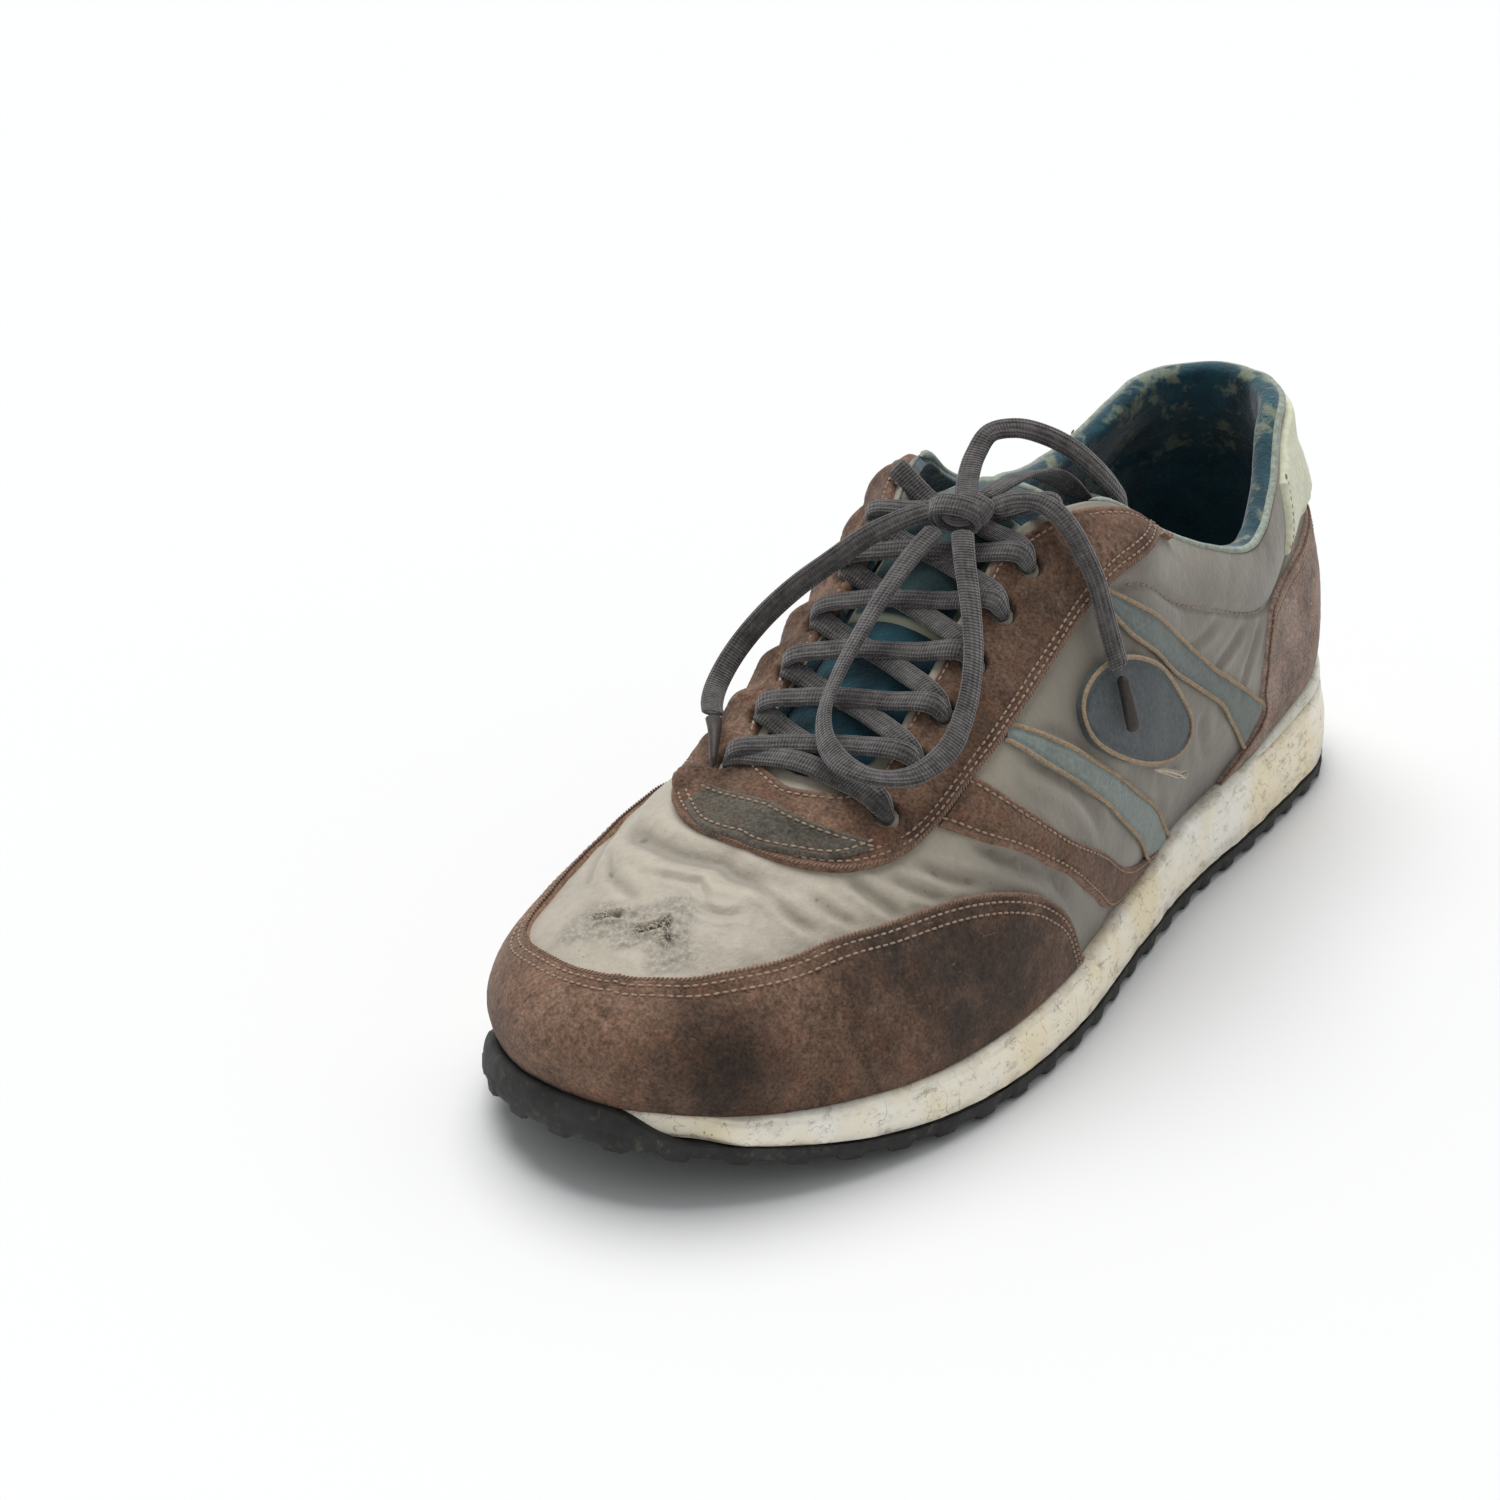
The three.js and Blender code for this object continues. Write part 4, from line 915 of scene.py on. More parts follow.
class Finish:
    """A procedural material put together from small steps; sizes are in mm."""

    def __init__(self, name, roughness=0.9, specular=0.25, sheen=0.0):
        self.material = bpy.data.materials.new(name)
        self.material.use_nodes = True
        self.tree = self.material.node_tree
        self.tree.nodes.clear()
        out = self.node("ShaderNodeOutputMaterial")
        self.bsdf = self.node("ShaderNodeBsdfPrincipled")
        self.tree.links.new(self.bsdf.outputs[0], out.inputs["Surface"])
        self.bsdf.inputs["Roughness"].default_value = roughness
        self.bsdf.inputs["Specular IOR Level"].default_value = specular
        self.bsdf.inputs["Sheen Weight"].default_value = sheen
        self.bsdf.inputs["Sheen Roughness"].default_value = 0.5
        self.place = self.node("ShaderNodeTexCoord").outputs["Object"]
        self.heights = []

    def node(self, kind, **settings):
        made = self.tree.nodes.new(kind)
        for key, value in settings.items():
            setattr(made, key, value)
        return made

    def feed(self, socket, value):
        if isinstance(value, bpy.types.NodeSocket):
            self.tree.links.new(value, socket)
        elif isinstance(value, (tuple, list)) and len(value) == 3 and socket.type == "RGBA":
            socket.default_value = (*value, 1.0)
        else:
            socket.default_value = value

    def maths(self, operation, a, b=0.0):
        made = self.node("ShaderNodeMath", operation=operation)
        self.feed(made.inputs[0], a)
        self.feed(made.inputs[1], b)
        return made.outputs[0]

    def span(self, value, low, high, first=0.0, last=1.0):
        made = self.node("ShaderNodeMapRange", clamp=True)
        for socket, given in zip(made.inputs, (value, low, high, first, last)):
            self.feed(socket, given)
        return made.outputs[0]

    def mix(self, share, a, b):
        made = self.node("ShaderNodeMix", data_type="RGBA")
        self.feed(made.inputs[0], share)
        self.feed(made.inputs[6], a)
        self.feed(made.inputs[7], b)
        return made.outputs[2]

    def over(self, look, mask, share, colour):
        """A colour laid over the look: at most share of it, where the mask is 1."""
        return self.mix(self.maths("MULTIPLY", mask, share), look, colour)

    def grain(self, size, detail, rough, low, high, first=0.0, last=1.0):
        """Noise on the shoe, drawn out to run from first to last between two levels."""
        return self.span(self.noise(size, detail, rough), low, high, first, last)

    def stretched(self, stretch):
        made = self.node("ShaderNodeMapping")
        self.feed(made.inputs["Vector"], self.place)
        made.inputs["Scale"].default_value = stretch
        return made.outputs[0]

    def noise(self, size, detail=3.0, rough=0.55, vector=None):
        made = self.node("ShaderNodeTexNoise")
        self.feed(made.inputs["Vector"], vector or self.place)
        made.inputs["Scale"].default_value = 1000 / size
        made.inputs["Detail"].default_value = detail
        made.inputs["Roughness"].default_value = rough
        return made.outputs[0]

    def attribute(self, name):
        return self.node("ShaderNodeAttribute", attribute_name=name).outputs["Fac"]

    def lengths(self, which):
        uv = self.node("ShaderNodeUVMap", uv_map="Lengths")
        made = self.node("ShaderNodeSeparateXYZ")
        self.feed(made.inputs[0], uv.outputs[0])
        return made.outputs[which]

    def blots(self, places, ragged=0.45):
        """1 in soft spots round the shoe: each is (x, y, z, radius), its edge broken up by noise."""
        broken = self.span(self.noise(9, 5, 0.65), 0.34, 0.66, 1 - ragged, 1 + ragged)
        total = 0.0
        for x, y, z, radius in places:
            made = self.node("ShaderNodeVectorMath", operation="DISTANCE")
            self.feed(made.inputs[0], self.place)
            made.inputs[1].default_value = tuple(to_frame((x, y, z)))
            far = self.maths("MULTIPLY", made.outputs["Value"], broken)
            spot = self.span(far, radius / 1000, radius * 0.25 / 1000)
            total = spot if isinstance(total, float) else self.maths("MAXIMUM", total, spot)
        return total

    def bump(self, height, depth):
        made = self.node("ShaderNodeBump")
        self.feed(made.inputs["Height"], height)
        made.inputs["Distance"].default_value = depth / 1000
        made.inputs["Strength"].default_value = 1.0
        if self.heights:
            self.feed(made.inputs["Normal"], self.heights[-1])
        self.heights.append(made.outputs[0])

    def done(self, colour, roughness=None):
        self.feed(self.bsdf.inputs["Base Color"], colour)
        if roughness is not None:
            self.feed(self.bsdf.inputs["Roughness"], roughness)
        if self.heights:
            self.feed(self.bsdf.inputs["Normal"], self.heights[-1])
        return self.material


def shade(colour, factor):
    return tuple(clamp(np.array(colour) * factor, 0, 1).tolist())


def greyed(colour, share):
    return tuple((np.array(colour) + (np.mean(colour) - np.array(colour)) * share).tolist())


def suede(name, colour, pale=1.5, dark_spots=(), pale_spots=(), grain=0.16):
    """Brushed leather gone patchy: darker stains, rubbed pale along edges and high spots."""
    f = Finish(name, roughness=0.95, specular=0.1, sheen=0.12)
    nap = f.noise(0.8, 3, 0.7)
    cloud = f.grain(13, 5, 0.62, 0.39, 0.61)
    look = f.mix(cloud, shade(colour, 0.6), shade(colour, 1.22))
    look = f.mix(f.grain(34, 5, 0.6, 0.5, 0.62, 0.0, 0.5), look, shade(colour, 0.5))
    warm = (colour[0] * 1.3, colour[1] * 1.02, colour[2] * 0.88)
    look = f.mix(f.grain(8, 4, 0.6, 0.48, 0.68, 0.0, 0.6), look, warm)
    rubbed = f.grain(2.6, 6, 0.7, 0.5, 0.66)
    look = f.over(look, rubbed, 0.45, shade(colour, pale))
    if pale_spots:
        worn = f.maths("MULTIPLY", f.blots(pale_spots), f.grain(2.2, 5, 0.7, 0.36, 0.6))
        look = f.over(look, worn, 0.7, shade(colour, pale * 1.3))
    if dark_spots:
        stained = f.maths("MULTIPLY", f.blots(dark_spots), f.grain(3.2, 5, 0.7, 0.32, 0.6, 0.5, 0.92))
        look = f.mix(stained, look, tone(52, 46, 42))
    scuffs = f.span(f.noise(2.0, 5, 0.75, f.stretched((0.35, 0.35, 1.4))), 0.62, 0.68)
    look = f.over(look, scuffs, 0.45, shade(colour, pale * 1.3))
    rim = f.span(f.attribute("edge"), 1.5, 0.2)
    rim = f.maths("MULTIPLY", rim, f.span(f.noise(4.5), 0.35, 0.6, 0.25, 0.85))
    look = f.mix(rim, look, shade(colour, pale * 1.3))
    fibres = f.span(nap, 0.32, 0.68, 0.55, 1.45)
    grained = f.node("ShaderNodeVectorMath", operation="SCALE")
    f.feed(grained.inputs[0], look)
    f.feed(grained.inputs["Scale"], fibres)
    # Painted shade: the eyelet pits are painted near black, as if they were open holes
    look = f.mix(f.attribute("pit"), grained.outputs[0], (0.004, 0.004, 0.004))
    f.bump(nap, grain)
    f.bump(f.noise(3.5, 4), 0.35)
    return f.done(look)


def nylon(colour):
    """Thin satin nylon: painted highlight on top near the toe, painted shade down the sides and in folds, darker
    low down.
    """
    f = Finish("Worn nylon", roughness=0.5, specular=0.4, sheen=0.3)
    cloud = f.grain(24, 5, 0.6, 0.36, 0.66)
    # Painted light: a shaded copy of the nylon colour down the sides, a lit copy where the nylon faces up near
    # the toe and high at the back
    look = f.mix(f.attribute("faded"), shade(colour, 0.5), shade(colour, 1.36))
    look = f.over(look, cloud, 0.35, shade(colour, 0.8))
    streaks = f.span(f.noise(3, 5, 0.65, f.stretched((1, 1, 0.4))), 0.45, 0.75)
    look = f.over(look, streaks, 0.28, shade(colour, 0.5))
    # Painted shade in the creases and a painted highlight along their crests, both read from the relief height
    dent = f.span(f.attribute("dent"), -0.1, -1.0)
    look = f.over(look, dent, 0.5, tone(98, 88, 76))
    crest_highlight = f.span(f.attribute("dent"), 0.25, 0.8)
    look = f.over(look, crest_highlight, 0.3, shade(colour, 1.5))
    look = f.over(look, f.attribute("low"), 0.75, tone(70, 63, 57))
    specks = f.grain(1.6, 2, 0.55, 0.7, 0.76)
    look = f.over(look, specks, 0.5, tone(88, 78, 68))
    frayed = f.maths("MULTIPLY", f.attribute("tear"), f.grain(0.9, 4, 0.7, 0.36, 0.58))
    look = f.over(look, frayed, 0.7, tone(122, 116, 107))
    # Painted shade: the torn slits are painted near black, as if open onto the dark inside
    look = f.over(look, f.attribute("slit"), 0.8, tone(50, 46, 43))
    f.bump(f.noise(0.7, 2), 0.05)
    f.bump(f.noise(2.6, 5, 0.6), 0.3)
    return f.done(look, f.span(cloud, 0, 1, 0.62, 0.46))


def lining_fabric(colour, patch):
    f = Finish("Padded lining", roughness=0.95, specular=0.1, sheen=0.5)
    knit = f.noise(0.8, 2)
    look = f.mix(f.grain(8, 4, 0.55, 0.4, 0.62), shade(colour, 0.75), shade(colour, 1.25))
    worn = f.maths("MULTIPLY", f.grain(9, 5, 0.65, 0.54, 0.62), f.attribute("wear"))
    look = f.over(look, worn, 0.8, patch)
    fuzz = f.grain(1.4, 4, 0.7, 0.6, 0.72)
    look = f.over(look, fuzz, 0.35, shade(patch, 0.7))
    f.bump(knit, 0.25)
    f.bump(f.noise(5, 4), 0.6)
    return f.done(look)


# How fast the lace's threads repeat across it and along it, in radians per unit of its UV map
LACE_ACROSS, LACE_ALONG = 44.0, 4200.0


def woven_lace(colour):
    """A flat lace: two sets of slanting threads, and pale fuzz flecked all over it."""
    f = Finish("Lace", roughness=0.97, specular=0.08, sheen=0.4)
    wide, long = f.lengths(0), f.lengths(1)
    wide, long = f.maths("MULTIPLY", wide, LACE_ACROSS), f.maths("MULTIPLY", long, LACE_ALONG)
    weave = f.maths("MULTIPLY", *(f.maths("SINE", f.maths(way, wide, long)) for way in ("ADD", "SUBTRACT")))
    look = f.mix(f.grain(4.0, 4, 0.65, 0.38, 0.66), shade(colour, 0.6), shade(colour, 1.5))
    look = f.mix(f.span(weave, -0.6, 0.8, 0.0, 0.35), look, shade(colour, 0.45))
    fuzz = f.grain(1.1, 4, 0.7, 0.55, 0.7)
    look = f.over(look, fuzz, 0.45, shade(colour, 2.3))
    f.bump(weave, 0.16)
    f.bump(f.noise(0.7, 3), 0.25)
    return f.done(look)


# Three nets of cracks in the foam: size in mm, stretch, width and how much of it shows
FOAM_CRACKS = ((9, (1, 0.5, 1.2), 0.006, 0.5), (6, (0.6, 1, 1), 0.008, 0.55), (16, (1, 1, 0.6), 0.004, 0.45))


def foam(name, colour, stain, dirt=1.0):
    """Old sole foam: yellowed in patches, scratched, flecked and grimy near the ground."""
    f = Finish(name, roughness=0.62, specular=0.35)
    patches = f.grain(26, 4, 0.55, 0.4, 0.64)
    look = f.mix(patches, colour, shade(stain, 1.0))
    look = f.mix(f.grain(5, 5, 0.65, 0.5, 0.75, 0.0, 0.35), look, shade(stain, 0.78))
    scratches = f.span(f.noise(2.2, 5, 0.7, f.stretched((1, 0.22, 1.5))), 0.62, 0.68)
    look = f.over(look, scratches, 0.45 * dirt, tone(128, 118, 100))
    for size, stretch, wide, seen in FOAM_CRACKS:
        line = f.maths("ABSOLUTE", f.maths("SUBTRACT", f.noise(size, 3, 0.6, f.stretched(stretch)), 0.5))
        shown = f.grain(size * 1.7, 2, 0.55, seen, seen + 0.06)
        thin = f.maths("MULTIPLY", f.span(line, wide, wide * 0.3), shown)
        look = f.over(look, thin, 0.42 * dirt, tone(104, 88, 68))
    smears = f.span(f.noise(4.5, 6, 0.75, f.stretched((1, 0.6, 1.4))), 0.55, 0.66)
    look = f.over(look, smears, 0.5 * dirt, tone(124, 108, 82))
    specks = f.grain(1.3, 3, 0.6, 0.66, 0.71)
    look = f.over(look, specks, 0.55 * dirt, tone(74, 64, 54))
    grime = f.maths("MULTIPLY", f.attribute("grime"), f.grain(6, 5, 0.6, 0.3, 0.6))
    look = f.over(look, grime, 0.6 * dirt, tone(112, 102, 86))
    f.bump(f.noise(1.2, 3), 0.12)
    f.bump(f.noise(9, 4), 0.4)
    return f.done(look, f.span(patches, 0, 1, 0.55, 0.72))


def rubber(colour):
    f = Finish("Outsole rubber", roughness=0.8, specular=0.3)
    look = f.mix(f.grain(7, 5, 0.65, 0.4, 0.65), shade(colour, 0.75), shade(colour, 1.25))
    dust = f.grain(2.5, 5, 0.7, 0.56, 0.7)
    look = f.over(look, dust, 0.4, tone(118, 110, 96))
    f.bump(f.noise(1.5, 3), 0.2)
    return f.done(look, f.span(dust, 0, 1, 0.72, 0.92))


def plain(name, colour, spread=0.2, size=1.5, roughness=0.9, sheen=0.2, edge_colour=None):
    f = Finish(name, roughness=roughness, specular=0.2, sheen=sheen)
    look = f.mix(f.grain(size, 4, 0.6, 0.35, 0.65), shade(colour, 1 - spread), shade(colour, 1 + spread))
    look = f.mix(f.grain(size * 5, 4, 0.6, 0.5, 0.7, 0.0, 0.4), look, shade(colour, 0.66))
    if edge_colour is not None:
        look = f.mix(f.span(f.attribute("edge"), 1.4, 0.5), look, edge_colour)
    f.bump(f.noise(size * 0.5, 2), 0.12)
    return f.done(look)


_finishes = {}


def finish(key):
    """The shoe's materials by name, made once from the panel's colours."""
    if key in _finishes:
        return _finishes[key]
    look = bpy.context.scene.sneaker
    brown = tuple(look.suede_colour)
    makers = {
        "suede": lambda: suede("Brown suede", brown, dark_spots=GUARD_STAINS, pale_spots=GUARD_RUBBED),
        "eyestay": lambda: suede("Eyestay suede", shade(brown, 0.86), pale=1.7, pale_spots=EYESTAY_RUBBED),
        "strap": lambda: suede("Strap suede", shade(brown, 0.98), pale=1.6),
        # Painted light: the heel leather is the same brown suede, brightened 2.1 times and greyed, for the light
        # falling on the heel from behind
        "counter": lambda: suede("Counter suede", greyed(shade(brown, 2.1), 0.4), pale=1.4),
        "patch": lambda: suede("Patch leather", tone(84, 80, 72), pale=1.3, grain=0.08),
        "nylon": lambda: nylon(tuple(look.nylon_colour)),
        "lining": lambda: lining_fabric(tuple(look.lining_colour), tone(128, 134, 112)),
        "tongue": lambda: lining_fabric(shade(look.lining_colour, 1.1), tone(104, 106, 92)),
        # Piping for the collar's and tongue's rims: a real cord, its pale mint partly its own colour and partly
        # painted highlight on the lit padded edge
        "piping": lambda: plain("Pale piping", tone(150, 158, 146), 0.25, 1.2),
        "label": lambda: plain("Label cloth", tone(52, 74, 76), 0.2, 1.0, edge_colour=tone(170, 172, 150)),
        "badge": lambda: plain("Side patch cloth", tone(78, 84, 86), 0.2, 1.2),
        "band_low": lambda: plain("Lower band", shade(look.band_colour, 1.0), 0.14, 1.2),
        "band_high": lambda: plain("Upper band", shade(look.band_colour, 0.68), 0.14, 1.2),
        "cording": lambda: plain("Tan cording", tone(160, 138, 112), 0.25, 0.8),
        "thread": lambda: plain("Sewing thread", tuple(look.thread_colour), 0.25, 0.8),
        "edging": lambda: plain("Edge stitching", shade(brown, 1.55), 0.3, 0.9),
        "fibre": lambda: plain("Frayed fibre", tone(196, 184, 164), 0.2, 0.8),
        "tab": lambda: plain("Heel tab cloth", tone(216, 217, 192), 0.1, 1.4),
        "lace": lambda: woven_lace(tuple(look.lace_colour)),
        "aglet": lambda: plain("Aglet", tone(66, 60, 56), 0.15, 1.0, roughness=0.45, sheen=0.0),
        "foam": lambda: foam("Midsole foam", tone(255, 252, 241), tuple(look.foam_colour), 1.0),
        "wedge": lambda: foam("Wedge foam", tone(240, 240, 230), tone(212, 210, 194), 0.8),
        "insole": lambda: plain("Insole cloth", tone(44, 52, 50), 0.25, 2.0),
        "rubber": lambda: rubber(tuple(look.rubber_colour)),
    }
    _finishes[key] = makers[key]()
    return _finishes[key]


# Stains and rubbed spots on the leather: (x, y, z, radius)
GUARD_STAINS = [(42, -83, 41, 24), (33, -94, 47, 19), (48, -68, 32, 24), (21, -135, 27, 19),
                (50, -84, 26, 14)]
GUARD_RUBBED = [(-3, -146, 37, 16), (27, -120, 39, 15), (-19, -145, 36, 20), (-42, -118, 40, 22)]
EYESTAY_RUBBED = [(36, 2, 100, 14), (-30, -20, 88, 26), (-24, -60, 70, 24), (12, -82, 66, 12)]


# ---------------------------------------------------------------- the upper's skin and lining

def skin_height(base):
    """The torn place on the vamp: its height, how rubbed the nylon is, and the open slits."""
    height, slit = np.zeros(base.shape[:-1]), np.zeros(base.shape[:-1])
    zone = line_on_face(("rubbed", 0), RUBBED, 0.8)
    distance, _ = near_line(base, zone, 22)
    ragged = distance + 2.2 * value_noise(base, 5, 24)
    tear = smooth((8.5 - ragged) / 4.5)
    height += tear * (0.3 * value_noise(base, 1.2, 22) + 0.28 * value_noise(base, 2.8, 25))
    for i, places in enumerate(TEAR):
        line = line_on_face(("tear", i), places, 0.8)
        distance, share = near_line(base, line, 14)
        ends = smooth(share * 6) * smooth((1 - share) * 6)
        ragged = distance + 0.5 * value_noise(base, 1.5, 21)
        height += ends * (0.6 * np.exp(-(((ragged - 1.5) / 0.8) ** 2)) - 0.9 * np.exp(-((ragged / 0.5) ** 2)))
        # The slit share is used only for colour: the nylon is painted dark there as shade inside the tear
        slit = np.maximum(slit, ends * np.exp(-((ragged / 0.42) ** 4)))
    return height, tear, slit


def nylon_upper():
    turns = columns(lambda fold: 0.62 + 1.0 * smooth((2.05 - fold) / 0.2))
    top = rib_top(turns)
    share = np.linspace(0, 1, 116)[:, None]
    turn, v = np.broadcast_to(turns, (116, len(turns))), share * top[None]
    base = face(turn, v)
    dent = relief(base)
    height, tear, slit = skin_height(base)
    normal = face_normal(turn, v)
    height = height + dent + collar_relief(base, turn, v) + 0.05 * value_noise(base, 2.2, 23)
    outer = base + normal * height[..., None]
    inner_rows = np.linspace(0, 115, 13).astype(int)
    inner = outer[inner_rows] - normal[inner_rows] * 0.8
    outer[0, :, 2] = base[0, :, 2]
    inner[0, :, 2] = base[0, :, 2]
    low = smooth((10 - (base[..., 2] - base[:1, :, 2])) / 12)
    skin = Skin()
    # Painted light share: near 1 where the nylon faces up towards the toe and high up at the back, near 0 down
    # the sides
    faded = smooth((normal[..., 2] - 0.25) / 0.6) * smooth((30 - base[..., 1]) / 60)
    faded = clamp(faded + 0.25 * smooth((base[..., 2] - 76) / 14) * smooth((base[..., 1] - 20) / 20))
    skin.grid(outer, dent=dent, tear=tear, slit=slit, low=low, faded=faded)
    skin.grid(inner[::-1])
    skin.strip(inner[0], outer[0])
    for part in open_slices(turns):
        skin.strip(outer[-1, part], inner[-1, part])
    return skin.piece("upper_shell", "nylon", ["upper"], "nylon_taupe")


def padded_lining():
    turns = columns(lambda fold: 1.9 + 0 * fold)
    top = rib_top(turns)
    fold = fold_of(turns)

    def rows(shares, height_of):
        turn, v = np.broadcast_to(turns, (len(shares), len(turns))), np.array(shares)[:, None] * top[None]
        base = face(turn, v)
        height = height_of(base, turn, v)
        wear = smooth((v - 0.45) / 0.3) * smooth((1.9 - np.broadcast_to(fold, v.shape)) / 0.4)
        return shell(turn, v, height), wear

    def clear_of_skin(base, turn, v):
        return -0.85 - 0.8 * smooth((top[None] - v) / 0.06)

    def inside(base, turn, v):
        slack = 0.5 * value_noise(base, 16, 31) + 0.25 * value_noise(base, 6, 32)
        return -wall_at(turn, v) - 0.6 + slack * smooth(v / 0.2) * smooth((1.02 - v) / 0.1)

    out, out_wear = rows(np.linspace(0.02, 1, 30), clear_of_skin)
    inn, inn_wear = rows(np.linspace(0.02, 1, 52), inside)
    skin = Skin()
    skin.grid(out, wear=out_wear)
    skin.grid(inn[::-1], wear=inn_wear[::-1])
    skin.strip(inn[0], out[0])
    roll = 2.6 * smooth((1.62 - fold) / 0.5) + 0.25
    up = steady(face(turns, top) - face(turns, top - 0.04))
    bend = np.linspace(0, math.pi, 9)
    arc = []
    for a in bend:
        middle = (out[-1] + inn[-1]) / 2 + (out[-1] - inn[-1]) / 2 * math.cos(a)
        arc.append(middle + up * (roll * math.sin(a) ** 0.8)[:, None])
    arc = np.array(arc)
    for part in open_slices(turns):
        skin.grid(arc[:, part], wear=np.ones(arc[:, part].shape[:-1]))
    piece = skin.piece("collar_lining", "lining", ["upper"], "lining_teal")
    return piece


def topline_piping():
    """A thin covered cord along the collar's edge, between skin and lining."""
    turns = columns(lambda fold: 1.6 + 0 * fold)
    fold = fold_of(turns)
    turns = turns[fold < 1.56]
    turns = np.concatenate([turns[turns > math.pi] - TURN, turns[turns < math.pi][1:]])
    line = shell(turns, np.ones(turns.shape), -0.9)
    up = steady(face(turns, 1.0) - face(turns, 0.96))
    skin = Skin()
    skin.tube(line + up * 0.9, up, 2.3, 2.0, sides=8, power=1.0)
    return skin.piece("topline_piping", "piping", ["upper"], "lining_teal")


# ---------------------------------------------------------------- leather and cloth panels

GUARD = {
    1: [(1.78, 0), (1.85, 0.18), (1.91, 0.27), (2, 0.37), (2.16, 0.51), (2.3, 0.58), (2.5, 0.62),
        (2.68, 0.69), (2.9, 0.77), (3.142, 0.79)],
    -1: [(1.72, 0), (1.8, 0.2), (1.88, 0.31), (2, 0.42), (2.2, 0.5), (2.4, 0.5), (2.56, 0.47),
         (2.78, 0.63), (2.95, 0.73), (3.142, 0.79)],
}
EYESTAY = [(1.39, 1), (1.45, 0.93), (1.514, 0.83), (1.62, 0.752), (1.7, 0.715), (1.79, 0.68), (1.98, 0.648),
           (2.08, 0.643), (2.14, 0.657), (2.2, 0.7), (2.265, 0.77), (2.34, 0.89), (2.385, 1)]
COUNTER = [(0, 1.17), (0.06, 1.04), (0.24, 1.02), (0.47, 1.03), (0.55, 1.015)]
STRAP = ([(1.514, 0.005), (1.63, 0.03), (1.741, 0.147), (1.837, 0.267), (1.937, 0.4), (2.02, 0.527),
          (2.068, 0.633)],
         [(1.42, 0.005), (1.545, 0.07), (1.693, 0.213), (1.828, 0.347), (1.894, 0.447), (1.946, 0.553),
          (1.981, 0.645)])
LOW_BAND = ([(1.466, 0.005), (1.536, 0.133), (1.671, 0.29), (1.776, 0.413), (1.854, 0.53), (1.907, 0.64)],
            [(1.37, 0.005), (1.453, 0.163), (1.593, 0.3), (1.715, 0.417), (1.806, 0.533), (1.889, 0.667)])
HIGH_BAND = ([(1.073, 0.063), (1.165, 0.27), (1.261, 0.427), (1.374, 0.51), (1.492, 0.557), (1.588, 0.62),
              (1.641, 0.7)],
             [(1.017, 0.24), (1.156, 0.44), (1.278, 0.557), (1.405, 0.643), (1.545, 0.683), (1.6, 0.72),
              (1.632, 0.75)])
VAMP_PATCH = ([(2.19, 0.268), (2.243, 0.225), (2.308, 0.137), (2.369, 0.027), (2.345, -0.097), (2.265, -0.2)],
              [(2.178, 0.25), (2.208, 0.167), (2.23, 0.077), (2.238, -0.037), (2.232, -0.12), (2.22, -0.165)])


def as_placed(turn, v):
    return turn, v


def mirrored(places):
    return [(TURN - turn, v) for turn, v in reversed(places)]


def guard_panel():
    def at(row):
        def edge_of(share):
            turn = 1.78 + (TURN - 1.72 - 1.78) * share
            high = np.where(turn <= math.pi, along(GUARD[1], turn), along(GUARD[-1], TURN - turn))
            return np.stack([turn, 0.004 + row * (high - 0.004)], -1)
        return edge_of
    return Panel(at(0), at(1), as_placed, step=1.15, bare=("low", "start", "end"))


def eyestay_panel():
    tip, tail, front = EYESTAY[0][0], EYESTAY[-1][0], THROAT_COLUMN + 0.03

    def outer(share):
        half = 1 - np.abs(2 * share - 1)
        fold = tip + (tail - tip) * half
        v = np.minimum(along(EYESTAY, fold), np.where(fold < math.pi / 2, 0.985, 1))
        return np.stack([fold, np.where(share < 0.5, 1, -1) * (1 - v)], -1)

    def inner(share):
        half = 1 - np.abs(2 * share - 1)
        fold = tip + (front - tip) * half
        top = rib_top(fold - 0.03) - 0.03 * smooth((front - fold) / 0.06)
        v = np.minimum(top, 0.985 + 0.015 * smooth(half * 6 - 5))
        return np.stack([fold, np.where(share < 0.5, 1, -1) * (1 - v)], -1)

    return Panel(outer, inner, over_ridge, step=0.85, bare=("start", "end"))


def counter_panel():
    def place(share, v):
        flared = v * (1 + 0.22 * smooth((np.abs(share) - 0.66) / 0.3))
        return share * along(COUNTER, v), np.maximum(flared, 0.004)
    return Panel([(-1, 0), (0, 0), (1, 0)], [(-1, 0.55), (0, 0.55), (1, 0.55)], place, step=1.5, bare=("low",))


def tab_panel():
    low = [(-0.88, 0.73), (-0.66, 0.62), (-0.3, 0.575), (0, 0.57), (0.3, 0.575), (0.66, 0.62), (0.88, 0.73)]
    high = [(-0.83, 0.975), (-0.3, 0.985), (0, 0.985), (0.3, 0.985), (0.83, 0.975)]
    return Panel(low, high, as_placed, step=1.4)


def badge_panel(sign):
    centre, long, short = np.array([1.562, 0.452]), np.array([0.192, 0.084]), np.array([0.004, 0.118])

    def arc(side):
        def at(share):
            a = math.pi * share
            p = centre - np.cos(a)[:, None] * long + side * (np.sin(a) ** 0.85)[:, None] * short
            if sign > 0:
                return p
            p = centre + np.cos(a)[:, None] * long + side * (np.sin(a) ** 0.85)[:, None] * short
            return np.stack([TURN - p[:, 0], p[:, 1]], -1)
        return at
    return Panel(arc(-1), arc(1), as_placed, step=0.9, bare=("start", "end"))


def seam_rows(panel, name, distances, height):
    return [on_shell(*panel.row_at(name, d), height) for d in distances]


